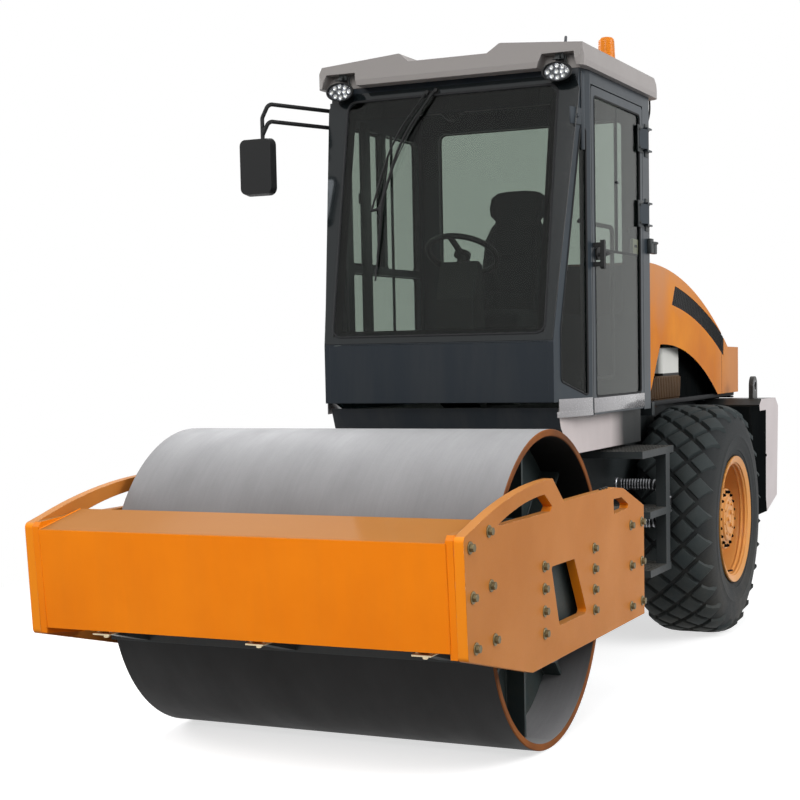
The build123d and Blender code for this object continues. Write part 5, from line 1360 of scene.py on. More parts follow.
def makeBeacon(spec):
    low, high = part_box("beacon")
    foot = low.z + spec["sink"]
    top = high.z - foot
    place = at((low.x + high.x) / 2, (low.y + high.y) / 2, foot)
    base = bmesh.new()
    stamp(base, lathePart(spec["base"], 40), [place])
    circle = spec["boltCircle"]
    for turn in range(spec["bolts"]):
        angle = math.radians(turn * 120 + 20)
        spot = at(circle * math.cos(angle), circle * math.sin(angle), spec["boltHeight"])
        stamp(base, boltPart(0.008, 0.004, 0.011), [place @ spot])
    piece = finishPiece("beaconBase", base, "rear_unit", "blackPlastic")
    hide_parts("beacon")
    # ribbed dome, a little narrower from rib to rib
    inner, outer = spec["foot"]
    profile = [(inner, 0.03), (outer, 0.032)]
    for rib in range(spec["ribs"]):
        start = 0.034 + rib * (top - 0.052) / spec["ribs"]
        wide = outer - spec["taper"] * rib / spec["ribs"]
        narrow = wide - 0.0012
        profile += [
            (wide, start), (wide, start + 0.0055), (narrow, start + 0.007), (narrow, start + 0.0085)
        ]
    profile += [(0.0415, top - 0.014), (0.036, top - 0.006), (0.024, top - 0.0015), (0.0, top - 0.0002)]
    dome = bmesh.new()
    stamp(dome, lathePart(profile, 40), [place])
    finishPiece("beaconDome", dome, "rear_unit", "beaconAmber")
    core = bmesh.new()
    stamp(core, lathePart(spec["core"], 20), [place])
    finishPiece("beaconCore", core, "rear_unit", "chromeRod")


makeBeacon(beaconShape)


roofTrim = {
    "bolts": 7, "rimY": 0.745, "rimZ": 3.35, "fall": 0.0852, "rake": 0.062,
    "gasketInset": 0.065, "gasketZ": 3.227,
    "cap": ((0, 0), (0.014, 0), (0.013, 0.004), (0.008, 0.007), (0, 0.008)),
    "gland": ((0, 0), (0.02, 0), (0.02, 0.012), (0.014, 0.02), (0, 0.022)),
    "aerial": (
        (0, 0), (0.012, 0), (0.012, 0.006), (0.009, 0.012), (0.0075, 0.02), (0.0075, 0.038),
        (0.005, 0.044), (0, 0.045),
    ),
    "clip": (0.695, 3.058),                 # y and z of the lead's clip on the rear pillar
}


def onRoof(x, y, lift=0.0):
    # a point on the roof's sloping shoulder
    return Vector((x, y, roofTrim["rimZ"] + (roofTrim["rimY"] - abs(y)) * roofTrim["fall"] + lift))


def makeRoofTrim(spec):
    # rubber gasket between the roof and the cab, and the lid's fixing bolts
    bm = bmesh.new()
    left, right = roofHigh.y - spec["gasketInset"], roofLow.y + spec["gasketInset"]
    front, rear = roofHigh.x - 0.1, roofLow.x + 0.12
    corners = ((front, left), (rear, left), (rear, right), (front, right))
    stamp(bm, loopPart([(x, y, spec["gasketZ"]) for x, y in corners], 0.0075, 0.05))
    finishPiece("roofGasket", bm, "rear_unit", "blackRubber")
    caps = bmesh.new()
    tilt = math.degrees(math.atan(spec["fall"]))
    run = roofHigh.x - roofLow.x - 0.27
    for index in range(spec["bolts"]):
        x = roofLow.x + 0.13 + run * index / (spec["bolts"] - 1)
        for sign in (-1, 1):
            place = at(*onRoof(x, sign * (spec["rimY"] - 0.035))) @ turned("X", -tilt * sign)
            stamp(caps, lathePart(spec["cap"], 14), [place])
    finishPiece("roofCaps", caps, "rear_unit", "greyPlastic")
    # lead to the beacon, clipped over the roof's rear corner and down to the pillar
    lead = bmesh.new()
    corner = roofLow.x + spec["rake"]
    stamp(lead, lathePart(spec["gland"], 18), [at(*onRoof(corner + 0.03, 0.68)) @ turned("X", -tilt)])
    down = (
        onRoof(corner + 0.03, 0.68, 0.018), onRoof(corner - 0.008, 0.684, 0.014),
        (roofLow.x - 0.01, 0.7, 3.262), (roofLow.x - 0.012, 0.702, 3.17),
        (roofLow.x + 0.045, 0.7, 3.085), (cabLow.x - 0.008, *spec["clip"]),
    )
    stamp(lead, pipePart(down, 0.0055, 0.03, 8))
    flat = (onRoof(-0.15, 0.62, 0.004), onRoof(-0.25, 0.67, 0.004), onRoof(corner + 0.05, 0.675, 0.004))
    stamp(lead, pipePart(flat, 0.004, 0.03, 8))
    stamp(lead, boxPart(0.02, 0.03, 0.036, 0.004), [at(cabLow.x - 0.01, *spec["clip"])])
    finishPiece("roofLead", lead, "rear_unit", "blackRubber")
    aerial = bmesh.new()
    stamp(aerial, lathePart(spec["aerial"], 16), [at(*onRoof(0.62, 0.62)) @ turned("X", -tilt)])
    finishPiece("aerialStub", aerial, "rear_unit", "greyPlastic")


makeRoofTrim(roofTrim)
print("roof")


# windscreen, side glass and wipers
screenTrim = {
    "half": 0.603, "low": 1.886, "high": 3.156,
    "border": 0.045, "behind": -0.0105, "cornerRound": 0.05, "seal": 0.007,
}


def makeScreenTrim(spec):
    # printed black border inside the windscreen, and the rubber round it
    low, high, half, inset = spec["low"], spec["high"], spec["half"], spec["border"]
    outer = ((-half, low), (half, low), (half, high), (-half, high))
    innerLow, innerHigh, innerHalf = low + inset * 0.7, high - inset * 2.2, half - inset
    inner = (
        (-innerHalf, innerLow), (innerHalf, innerLow), (innerHalf, innerHigh), (-innerHalf, innerHigh),
    )
    bm = ringPart(*([onScreen(y, z, spec["behind"]) for y, z in line] for line in (outer, inner)))
    bmesh.ops.solidify(bm, geom=bm.faces[:], thickness=0.001)
    finishPiece("screenBorder", bm, "rear_unit", "blackPlastic")
    seal = bmesh.new()
    edge = [onScreen(y, z, 0.001) for y, z in outer]
    stamp(seal, loopPart(edge, spec["seal"], spec["cornerRound"]))
    finishPiece("screenSeal", seal, "rear_unit", "blackRubber")


makeScreenTrim(screenTrim)


bandShape = {
    # across and height, the left half from below upwards
    "outer": ((0.646, 1.85), (0.652, 1.95), (0.72, 3.12), (0.69, 3.2)),
    "inner": ((0.6, 1.89), (0.6, 1.95), (0.6, 3.11), (0.56, 3.152)),
    "out": 0.0035,
    "thick": 0.003,
}


def makeScreenBand(spec):
    # dark glass edge bonded over the front posts and the rail above the screen
    lines = []
    for half in (spec["outer"], spec["inner"]):
        whole = half + tuple((-y, z) for y, z in reversed(half))
        lines.append([onScreen(y, z, spec["out"]) for y, z in whole])
    bm = ringPart(*lines)
    bmesh.ops.recalc_face_normals(bm, faces=bm.faces[:])
    bmesh.ops.solidify(bm, geom=bm.faces[:], thickness=spec["thick"])
    bmesh.ops.recalc_face_normals(bm, faces=bm.faces[:])
    finishPiece("screenBand", bm, "rear_unit", "blackGlass")


makeScreenBand(bandShape)


paneTrim = {
    "rubber": 0.006,
    # window openings: their ends behind and ahead, then heights
    "panes": (
        (cabLow.x + 0.09, cabLow.x + 0.545, 2.29, 3.06),
        (cabLow.x + 0.585, cabHigh.x - cornerRun - 0.07, 2.29, 3.06),
        (cabLow.x + 0.09, cabHigh.x - cornerRun - 0.07, 1.876, 2.25),
    ),
    "rearPane": (0.575, 2.0, 3.11),         # half width, heights
    "corner": (
        (0.07, 1.64), (facetLength - 0.046, 1.56), (facetLength - 0.046, 2.931),
        (0.282, 2.931), (0.07, 1.902),
    ),
    "doorPane": (-0.298, 0.502, 1.548, 3.11),
}


def upright(rear, front, y, low, high):
    # corners of an opening in a wall that runs along the machine
    return ((rear, y, low), (front, y, low), (front, y, high), (rear, y, high))


def makePaneTrim(spec):
    # rubber round each window of the right wall, the rear wall and the front corners
    bm = bmesh.new()
    right = cabLow.y + 0.001
    for rear, front, low, high in spec["panes"]:
        stamp(bm, loopPart(upright(rear, front, right, low, high), spec["rubber"], 0.03))
    back = cabLow.x + 0.0015
    half, low, high = spec["rearPane"]
    corners = ((back, -half, low), (back, half, low), (back, half, high), (back, -half, high))
    stamp(bm, loopPart(corners, spec["rubber"], 0.04))
    for sign in (-1, 1):
        corners = [facetFrame(sign) @ Vector((x, 0.0, z)) for x, z in spec["corner"]]
        stamp(bm, loopPart(corners, 0.0055, 0.02))
    finishPiece("paneRubber", bm, "rear_unit", "blackRubber")
    # sliding window's rails and catch in the right wall
    slide = bmesh.new()
    rear, front, low, high = spec["panes"][1]
    middleX, middleZ = (rear + front) / 2, (low + high) / 2
    post = boxPart(0.024, 0.014, high - low - 0.02, 0.003)
    stamp(slide, post, [at(middleX + 0.02, right + 0.01, middleZ)])
    for z in (low + 0.012, high - 0.012):
        stamp(slide, boxPart(front - rear - 0.03, 0.016, 0.014, 0.003), [at(middleX, right + 0.01, z)])
    stamp(slide, boxPart(0.03, 0.02, 0.06, 0.004), [at(middleX + 0.045, right + 0.02, middleZ)])
    finishPiece("slideFrame", slide, "rear_unit", "framePaint")
    door = bmesh.new()
    rear, front, low, high = spec["doorPane"]
    stamp(door, loopPart(upright(rear, front, doorHigh.y - 0.0345, low, high), spec["rubber"], 0.024))
    finishPiece("doorRubber", door, "door", "blackRubber")
    # bars of the door's sliding upper window, and its middle rail
    bars = bmesh.new()
    stamp(bars, boxPart(0.026, 0.016, 0.78, 0.003), [at(0.095, 0.712, 2.715)])
    stamp(bars, boxPart(0.79, 0.012, 0.014, 0.003), [at(0.102, 0.712, 2.325)])
    stamp(bars, boxPart(0.03, 0.012, 0.012, 0.003), [at(0.1, 0.724, 2.7)])
    finishPiece("doorBars", bars, "door", "framePaint")


makePaneTrim(paneTrim)


wiperShape = {
    "armOut": 0.02, "bladeOut": 0.01,
    # across and height on the screen
    "pivots": ((-0.078, 3.175), (-0.128, 3.168)),
    "bends": ((-0.262, 2.93), (-0.312, 2.925)),
    "hooks": ((-0.362, 2.56), (-0.412, 2.553)),
    "arms": (0.0075, 0.0055),
    "blade": ((-0.34, 2.85), (-0.366, 2.18)),
    "boss": ((0, 0), (0.016, 0), (0.016, 0.006), (0.011, 0.01), (0.011, 0.026), (0, 0.027)),
    "motor": ((0, 0), (0.058, 0), (0.062, -0.01), (0.062, -0.05), (0.05, -0.06), (0, -0.06)),
}


def makeWipers(spec):
    bm = bmesh.new()
    out = spec["armOut"]
    pivots = [onScreen(y, z) for y, z in spec["pivots"]]
    bends = [onScreen(y, z, out + 0.004) for y, z in spec["bends"]]
    hooks = [onScreen(y, z, out) for y, z in spec["hooks"]]
    lean = Matrix.Rotation(math.radians(90) - math.atan(screenLean), 4, "Y")
    for pivot in pivots:
        stamp(bm, lathePart(spec["boss"], 16), [at(*pivot) @ lean])
    for pivot, bend, hook, radius in zip(pivots, bends, hooks, spec["arms"]):
        stamp(bm, pipePart((pivot + Vector((out, 0, 0.01)), bend, hook), radius, 0.12, 8))
    washerPipe = (
        pivots[0] + Vector((out + 0.006, -0.02, 0)), onScreen(-0.24, 2.9, out + 0.014),
        onScreen(-0.345, 2.66, out + 0.004),
    )
    stamp(bm, pipePart(washerPipe, 0.0032, 0.1, 6))
    stamp(bm, pipePart(hooks, 0.008, 0.0, 8))
    # blade: rubber, its rail and the sprung yoke
    top, bottom = (onScreen(y, z, spec["bladeOut"]) for y, z in spec["blade"])
    stamp(bm, pipePart((top, (top + bottom) / 2 + Vector((-0.001, 0, 0)), bottom), 0.0052, 0.1, 6))
    yoke = [
        top.lerp(bottom, share) + Vector((lift, 0, 0))
        for share, lift in ((0.18, 0.006), (0.45, 0.016), (0.82, 0.006))
    ]
    stamp(bm, pipePart(yoke, 0.0045, 0.1, 6))
    joint = top.lerp(bottom, 0.44) + Vector((0.012, -0.006, 0))
    stamp(bm, boxPart(0.016, 0.022, 0.05, 0.004), [at(*joint)])
    finishPiece("wiper", bm, "rear_unit", "blackPlastic")
    motor = bmesh.new()
    inside = onScreen(-0.02, 3.1, -0.05)
    stamp(motor, lathePart(spec["motor"], 28), [at(*inside) @ lean])
    stamp(motor, boxPart(0.06, 0.16, 0.05, 0.008), [at(*(inside + Vector((-0.045, -0.03, 0.02))))])
    finishPiece("wiperMotor", motor, "rear_unit", "blackPlastic")


makeWipers(wiperShape)
print("glass and wipers")


# door furniture and the cab's outside
doorTrim = {
    "plate": (
        (-0.07, -0.03), (0.052, -0.036), (0.07, -0.012), (0.07, 0.02), (0.04, 0.034),
        (-0.062, 0.026)
    ),
    "platePlace": (0.44, 0.731, 2.3),
    "pull": (
        (0.392, 0.735, 2.3), (0.392, 0.772, 2.302), (0.485, 0.776, 2.292), (0.488, 0.735, 2.29)
    ),
    "hinges": (2.56, 2.98),
    "stay": ((-0.455, 0.752, 2.405), (-0.545, 0.76, 2.405), (-0.56, 0.745, 2.405)),
    "knob": (
        (0, 0), (0.01, 0), (0.01, 0.012), (0.02, 0.018), (0.02, 0.03), (0.012, 0.036), (0, 0.037)
    )
}


def makeDoorTrim(spec):
    # outer handle: a wedge-shaped pull on a backing plate
    bm = bmesh.new()
    flipped = outLeft @ Matrix.Scale(-1, 4, (0, 1, 0))
    stamp(bm, platePart(spec["plate"], 0.012, 0.003), [at(*spec["platePlace"]) @ flipped])
    stamp(bm, pipePart(spec["pull"], 0.01, 0.02, 10))
    finishPiece("doorHandle", bm, "door", "blackPlastic")
    # hinge leaves over the knuckles on the door, and their plates on the pillar
    leaves, posts = bmesh.new(), bmesh.new()
    for z in spec["hinges"]:
        stamp(leaves, boxPart(0.1, 0.006, 0.15, 0.002), [at(-0.3, 0.7345, z)])
        stamp(posts, boxPart(0.075, 0.005, 0.185, 0.002), [at(-0.43, 0.7335, z)])
        for side in (-1, 1):
            bolt = at(-0.275, 0.7372, z + 0.05 * side) @ outLeft
            stamp(leaves, boltPart(0.014, 0.006, 0.02), [bolt])
            bolt = at(-0.445, 0.7358, z + 0.06 * side) @ outLeft
            stamp(posts, boltPart(0.014, 0.006, 0.02), [bolt])
    finishPiece("doorHinges", leaves, "door", "framePaint")
    # hold-open catch on the rear pillar
    stamp(posts, boxPart(0.05, 0.026, 0.085, 0.004), [at(-0.455, 0.744, 2.385)])
    stamp(posts, pipePart(spec["stay"], 0.008, 0.02, 8))
    stamp(posts, boxPart(0.06, 0.03, 0.06, 0.006), [at(-0.52, 0.742, 2.372)])
    finishPiece("hingePosts", posts, "rear_unit", "framePaint")
    striker = bmesh.new()
    stamp(striker, boxPart(0.098, 0.02, 0.088, 0.006, 3), [at(-0.245, 0.706, 2.372)])
    stamp(striker, boxPart(0.05, 0.022, 0.016, 0.002), [at(-0.245, 0.707, 2.375)], 1)
    finishPiece("doorLatch", striker, "door", ("beigePlastic", "blackPlastic"))
    knob = bmesh.new()
    stamp(knob, lathePart(spec["knob"], 16), [at(-0.23, 0.7, 2.47) @ outRight])
    finishPiece("latchKnob", knob, "door", "blackPlastic")
    # amber marker high on the rear pillar
    marks = bmesh.new()
    stamp(marks, boxPart(0.01, 0.03, 0.128, 0.003), [at(-0.4865, 0.7, 3.06)])
    finishPiece("sideMarker", marks, "rear_unit", "beaconAmber")


makeDoorTrim(doorTrim)


def makeSill():
    # bright folded sill under the glazed corners and the door
    bm = bmesh.new()
    for sign in (1, -1):
        facet = facetFrame(sign)
        wide = boxPart(facetLength - 0.05, 0.004, 0.075, 0.0015)
        stamp(bm, wide, [facet @ at(facetLength / 2 + 0.02, 0.0022, 1.512)])
        if sign > 0:
            # only the left corner has the lower fold, beside the step
            fold = boxPart(facetLength - 0.03, 0.005, 0.03, 0.0015)
            stamp(bm, fold, [facet @ at(facetLength / 2 + 0.012, 0.0024, 1.47)])
    finishPiece("cornerSills", bm, "rear_unit", "sillPaint")
    door = bmesh.new()
    stamp(door, boxPart(0.902, 0.004, 0.078, 0.0015), [at(0.102, 0.733, 1.505)])
    finishPiece("doorSill", door, "door", "sillPaint")


makeSill()


panelScrews = {
    "across": (-0.585, -0.2, 0.2, 0.585),
    "heights": (1.565, 1.815),
    "sink": 0.0062,
    "profile": ((0, 0), (0.01, 0), (0.01, 0.003), (0.006, 0.0055), (0, 0.006)),
}


def makeCabTrim(spec):
    # corner bracket plate with its bolt, and the light strip that runs up the post
    facet = facetFrame(1)
    bm = bmesh.new()
    stamp(bm, boxPart(0.115, 0.006, 0.085, 0.002), [facet @ at(0.235, 0.003, 2.985)])
    stamp(bm, boltPart(0.02, 0.009, 0.03), [facet @ at(0.235, 0.006, 2.985) @ outLeft])
    stamp(bm, boxPart(0.03, 0.008, 0.4, 0.003), [facet @ at(0.3, 0.004, 3.02)])
    finishPiece("cornerPlate", bm, "rear_unit", "cabPaint")
    screws = bmesh.new()
    for y in spec["across"]:
        for z in spec["heights"]:
            stamp(
                screws, lathePart(spec["profile"], 12),
                [at(panelHigh.x - spec["sink"], y, z) @ outFront]
            )
    finishPiece("panelScrews", screws, "rear_unit", "cabPaint")


makeCabTrim(panelScrews)


mirrorShape = {
    "inset": 0.0515,                        # the glass's face, behind the housing's front
    "y": -0.93, "z": 2.792,
    "size": (0.004, 0.165, 0.262),
    "corner": 0.03,
    "clampX": 1.072, "clamps": (2.735, 2.85),
}


def makeMirror(spec):
    # mirror glass on the side that faces the driver, and the clamps on its arm
    bm = bmesh.new()
    glass = boxPart(*spec["size"], 0.0)
    through = [e for e in glass.edges if abs(e.verts[0].co.x - e.verts[1].co.x) > 0.001]
    bmesh.ops.bevel(
        glass, geom=through, offset=spec["corner"], offset_type="OFFSET", affect="EDGES",
        segments=5, profile=0.5, material=-1,
    )
    stamp(bm, glass, [at(mirrorHigh.x - spec["inset"], spec["y"], spec["z"])])
    finishPiece("mirrorGlass", bm, "rear_unit", "mirrorSilver")
    clamps = bmesh.new()
    for z in spec["clamps"]:
        stamp(clamps, boxPart(0.045, 0.05, 0.022, 0.004), [at(spec["clampX"], spec["y"], z)])
        bolt = at(spec["clampX"] - 0.022, spec["y"], z) @ outBack
        stamp(clamps, boltPart(0.012, 0.006, 0.018), [bolt])
    finishPiece("mirrorClamps", clamps, "rear_unit", "blackPlastic")


makeMirror(mirrorShape)
print("cab outside")


# hood, rear frame, steps and tanks
def arcThrough(first, second, third):
    # circle through three points in a side view, as a height for each place along
    (a, b), (c, d), (e, f) = first, second, third
    turn = 2 * (a * (d - f) + c * (f - b) + e * (b - d))
    across = ((a * a + b * b) * (d - f) + (c * c + d * d) * (f - b) + (e * e + f * f) * (b - d)) / turn
    over = ((a * a + b * b) * (e - c) + (c * c + d * d) * (a - e) + (e * e + f * f) * (c - a)) / turn
    radius = math.hypot(a - across, b - over)
    side = 1 if b > over else -1
    return lambda along: over + side * math.sqrt(max(0.0, radius * radius - (along - across) ** 2))


def inSideView(sign):
    # turns a flat part's x and y to x and z, and thickens it outward on the side of the sign
    return Matrix(((1, 0, 0, 0), (0, 0, sign, 0), (0, 1, 0, 0), (0, 0, 0, 1)))


hoodFront = -0.6035
hoodTrim = {
    # places behind the hood's front edge and heights
    "top": ((0.0, 2.306), (1.02, 2.185), (2.000, 1.8)),
    "upper": ((0.662, 2.183), (1.3, 2.057), (1.885, 1.868)),
    "lower": ((0.587, 2.064), (1.2, 1.963), (1.882, 1.735)),
    "face": 0.6575,
    "slats": 11,
    "ribs": 34,
    "bar": 0.0018,
    "seam": 1.8305,
    "seamFoot": 1.482,
    "tailSlats": 13,
    "tail": (1.566, 1.754),
}


def makeHoodTrim(spec):
    top = arcThrough(*spec["top"])
    upper, lower = arcThrough(*spec["upper"]), arcThrough(*spec["lower"])
    mesh, seam = bmesh.new(), bmesh.new()

    def inGrille(along, share, y):
        # along and share run 0 to 1 over the grille's length and height
        low = spec["lower"][0][0] + along * (spec["lower"][2][0] - spec["lower"][0][0])
        high = spec["upper"][0][0] + along * (spec["upper"][2][0] - spec["upper"][0][0])
        x = low + share * (high - low)
        z = lower(low) + share * (upper(high) - lower(low))
        return (hoodFront - x, y, z)

    for sign in (-1, 1):
        y = spec["face"] * sign
        for slat in range(1, spec["slats"] + 1):
            path = [inGrille(step / 9, slat / (spec["slats"] + 1), y) for step in range(10)]
            stamp(mesh, pipePart(path, spec["bar"], 0.02, 6))
        for rib in range(1, spec["ribs"]):
            path = [inGrille(rib / spec["ribs"], share, y) for share in (0.03, 0.5, 0.97)]
            stamp(mesh, pipePart(path, spec["bar"], 0.01, 4))
        # joint between the hood's body and its tail
        place = hoodFront - spec["seam"]
        height = top(spec["seam"]) - 0.045
        foot = spec["seamFoot"]
        strip = boxPart(0.0035, 0.0012, height - foot, 0.0004, 1)
        stamp(seam, strip, [at(place, 0.6602 * sign, (height + foot) / 2)])
    # slats over the tail's grille
    low, high = spec["tail"]
    for slat in range(spec["tailSlats"]):
        z = low + slat * (high - low) / (spec["tailSlats"] - 1)
        place = at(hoodLow.x - 0.0005, 0, z) @ turned("Y", 24)
        stamp(mesh, boxPart(0.003, 0.88, 0.0065, 0.001, 1), [place])
    finishPiece("grilleMesh", mesh, "hood", "blackPlastic")
    finishPiece("hoodSeam", seam, "hood", "blackRubber")


makeHoodTrim(hoodTrim)


creaseShape = {"front": 1.76, "back": 1.905, "half": 0.654, "proud": 0.0008, "deep": 0.011}


def makeCrease(spec):
    # folded strip across the hood's top, where the side grilles run out
    top = arcThrough(*hoodTrim["top"])
    stops = [spec["front"] + step * (spec["back"] - spec["front"]) / 8 for step in range(9)]
    upper = [(hoodFront - stop, top(stop) + spec["proud"]) for stop in stops]
    lower = [(hoodFront - stop, top(stop) - spec["deep"]) for stop in reversed(stops)]
    bm = bmesh.new()
    stamp(bm, platePart(upper + lower, 2 * spec["half"]), [at(0, -spec["half"], 0) @ inSideView(1)])
    finishPiece("hoodCrease", bm, "hood", "hoodOrange")


makeCrease(creaseShape)


shieldShape = {
    # the plate beside the engine, in side view, and the rail the hood closes on
    "outline": (
        (-1.62, 1.437), (-2.74, 1.437), (-2.74, 1.52), (-2.5, 1.64), (-2.16, 1.755), (-1.62, 1.775),
    ),
    "y": 0.56,
    "bolts": (
        (-1.66, 1.462), (-1.92, 1.462), (-2.18, 1.462), (-2.44, 1.462), (-2.7, 1.462),
        (-1.66, 1.74), (-2.05, 1.72),
    ),
    "ribs": (-1.86, -2.12, -2.38),
    "rail": (-0.665, -2.88),
    "railY": 0.622,
    "arms": (-0.705, -2.06, -2.86),
}


def makeShields(spec):
    plates, rails = bmesh.new(), bmesh.new()
    for sign in (-1, 1):
        plate = platePart(spec["outline"], 0.005, 0.0012, 1)
        stamp(plates, plate, [at(0, spec["y"] * sign, 0) @ inSideView(sign)])
        front, back = spec["outline"][0][0], spec["outline"][1][0]
        flange = boxPart(front - back, 0.13, 0.005, 0.001, 1)
        stamp(plates, flange, [at((front + back) / 2, (spec["y"] - 0.062) * sign, 1.4385)])
        face = (spec["y"] + 0.005) * sign
        bolts = [at(x, face, z) @ sideOut(sign) for x, z in spec["bolts"]]
        stamp(plates, boltPart(0.017, 0.008, 0.026), bolts)
        # pressed ribs across the plate
        for x in spec["ribs"]:
            stamp(plates, boxPart(0.03, 0.01, 0.15, 0.004, 2), [at(x, face, 1.56)])
        front, back = spec["rail"]
        rail = boxPart(front - back, 0.03, 0.03, 0.009, 3)
        stamp(rails, rail, [at((front + back) / 2, spec["railY"] * sign, 1.463)])
        for x in spec["arms"]:
            stamp(plates, boxPart(0.05, 0.165, 0.01, 0.002, 1), [at(x, 0.55 * sign, 1.44)])
            stamp(plates, boltPart(0.017, 0.008, 0.026), [at(x, 0.54 * sign, 1.445)])
    finishPiece("engineShields", plates, "rear_unit", "chassisBlack")
    finishPiece("hoodRails", rails, "rear_unit", "blackRubber")


makeShields(shieldShape)


ductShape = {
    "front": -0.69, "back": -1.56, "low": 1.482, "high": 1.618, "ribs": 24, "lean": 9.0,
    "wallFront": -1.062,                    # the wall behind the ribs begins here
    "ribsOut": (0.612, 0.602),              # the ribs ahead of the wall, and on it
}


def makeDuctRibs(spec):
    # ribbed wall in front of the engine, seen through the wheel arch
    bm = bmesh.new()
    tall, middleZ = spec["high"] - spec["low"], (spec["high"] + spec["low"]) / 2
    pitch = (spec["back"] - spec["front"]) / spec["ribs"]
    length = spec["wallFront"] - spec["back"]
    for sign in (-1, 1):
        wall = at(spec["wallFront"] - length / 2, 0.59 * sign, middleZ - 0.004)
        stamp(bm, boxPart(length, 0.02, tall + 0.02, 0.004), [wall])
        for rib in range(spec["ribs"]):
            x = spec["front"] + (rib + 0.5) * pitch
            y = spec["ribsOut"][0 if x > spec["wallFront"] else 1]
            place = at(x, y * sign, middleZ) @ turned("Y", -spec["lean"])
            stamp(bm, boxPart(0.016, 0.018, tall, 0.006, 2), [place])
    finishPiece("ductRibs", bm, "rear_unit", "tankBrown")


makeDuctRibs(ductShape)


bottleCap = {
    "ahead": 0.09,
    "profile": (
        (0, 0), (0.03, 0), (0.03, 0.004), (0.026, 0.006), (0.026, 0.022), (0.023, 0.026), (0, 0.026),
    ),
}


def makeBottleTrim(spec):
    low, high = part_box("coolant_bottle")
    bm = bmesh.new()
    place = at(low.x + spec["ahead"], (low.y + high.y) / 2, high.z)
    stamp(bm, lathePart(spec["profile"], 24), [place])
    finishPiece("bottleCap", bm, "rear_unit", "whitePlastic")


makeBottleTrim(bottleCap)


treadShape = {
    "pitch": 0.028, "long": 0.022, "wide": 0.0055, "high": 0.0022, "inset": 0.022,
    # the deck and the two steps: front, back, near, far, top
    "flats": (
        (0.1165, -0.4985, 0.48, 0.86, 1.235), (-0.0235, -0.3385, 0.495, 0.86, 0.56),
        (-0.0235, -0.3385, 0.495, 0.86, 0.89),
    ),
}


def makeTreads(spec):
    # raised bars of the chequer plate on the deck and on each step
    bm = bmesh.new()
    pitch, inset = spec["pitch"], spec["inset"]
    for front, back, near, far, top in spec["flats"]:
        rows = int((front - back - 2 * inset) / pitch)
        columns = int((far - near - 2 * inset) / pitch)
        places = []
        for row in range(rows + 1):
            for column in range(columns + 1):
                x, y = front - inset - row * pitch, near + inset + column * pitch
                lean = 45 if (row + column) % 2 else -45
                places.append(at(x, y, top + spec["high"] * 0.3) @ turned("Z", lean))
        stamp(bm, boxPart(spec["long"], spec["wide"], spec["high"], 0.0008, 1), places)
    finishPiece("stepTreads", bm, "rear_unit", "framePaint")


makeTreads(treadShape)


tankTrim = {
    "straps": (0.26, 0.74),                 # shares of the tank's length
    "strapWidth": 0.045, "strap": 0.003,
    "cap": (
        (0, 0), (0.052, 0), (0.052, 0.012), (0.046, 0.016), (0.046, 0.038), (0.04, 0.044), (0, 0.044),
    ),
}


def makeTankTrim(spec):
    bm = bmesh.new()
    size, centre = tankHigh - tankLow, (tankLow + tankHigh) / 2
    wide, thick = spec["strapWidth"], spec["strap"]
    for share in spec["straps"]:
        x = tankLow.x + share * size.x
        front = boxPart(wide, thick, size.z, 0.001, 1)
        stamp(bm, front, [at(x, tankLow.y - thick * 0.4, centre.z)])
        heights = (tankHigh.z + thick * 0.4, tankLow.z - thick * 0.4)
        stamp(bm, boxPart(wide, size.y, thick, 0.001, 1), [at(x, centre.y, z) for z in heights])
        heights = (tankHigh.z - 0.06, tankLow.z + 0.06)
        bolts = [at(x, tankLow.y - thick * 0.9, z) @ outRight for z in heights]
        stamp(bm, boltPart(0.019, 0.01, 0.03), bolts)
    stamp(bm, lathePart(spec["cap"], 32), [at(centre.x, tankLow.y + 0.09, tankHigh.z)])
    finishPiece("tankStraps", bm, "rear_unit", "framePaint")
    # sight gauge on the tank's face
    gauge = bmesh.new()
    place = at(centre.x, tankLow.y, centre.z)
    stamp(gauge, boxPart(0.03, 0.01, 0.2, 0.005, 3), [place @ at(0, -0.004, 0.08)])
    bolts = [place @ at(0, -0.009, z) @ outRight for z in (-0.012, 0.172)]
    stamp(gauge, boltPart(0.013, 0.006, 0.02), bolts)
    finishPiece("tankGauge", gauge, "rear_unit", "steelGrey")


makeTankTrim(tankTrim)


boxTrim = {
    "front": -2.17, "back": -2.617, "low": 0.68, "high": 1.355, "face": 0.923, "lid": 0.004,
    "hinge": ((0, -0.035), (0.008, -0.035), (0.008, 0.035), (0, 0.035)),
}


def makeBoxLids(spec):
    bm = bmesh.new()
    wide, tall = spec["front"] - spec["back"], spec["high"] - spec["low"]
    x, z = (spec["front"] + spec["back"]) / 2, (spec["high"] + spec["low"]) / 2
    face, latchX = spec["face"], spec["back"] + 0.045
    for sign in (-1, 1):
        stamp(bm, boxPart(wide, spec["lid"], tall, 0.0015, 2), [at(x, (face + 0.001) * sign, z)])
        for height in (z - tall * 0.32, z + tall * 0.32):
            place = at(spec["front"] - 0.004, (face + 0.004) * sign, height)
            stamp(bm, lathePart(spec["hinge"], 12), [place])
        stamp(bm, boxPart(0.036, 0.008, 0.09, 0.003, 2), [at(latchX, (face + 0.005) * sign, z)])
        bolt = at(latchX, (face + 0.008) * sign, z + 0.022) @ sideOut(sign)
        stamp(bm, boltPart(0.018, 0.006, 0.026), [bolt])
    finishPiece("boxLids", bm, "rear_unit", "chassisBlack")


makeBoxLids(boxTrim)


eyeShape = {
    "y": 0.85,
    "hole": (-2.5535, 1.525),
    "half": 0.015,
    "foot": ((-2.495, 1.4365), (-2.612, 1.4345)),
    "rim": ((0.03, -0.0008), (0.03, 0.0012), (0.036, 0.0012), (0.037, -0.0008), (0.03, -0.0008)),
}


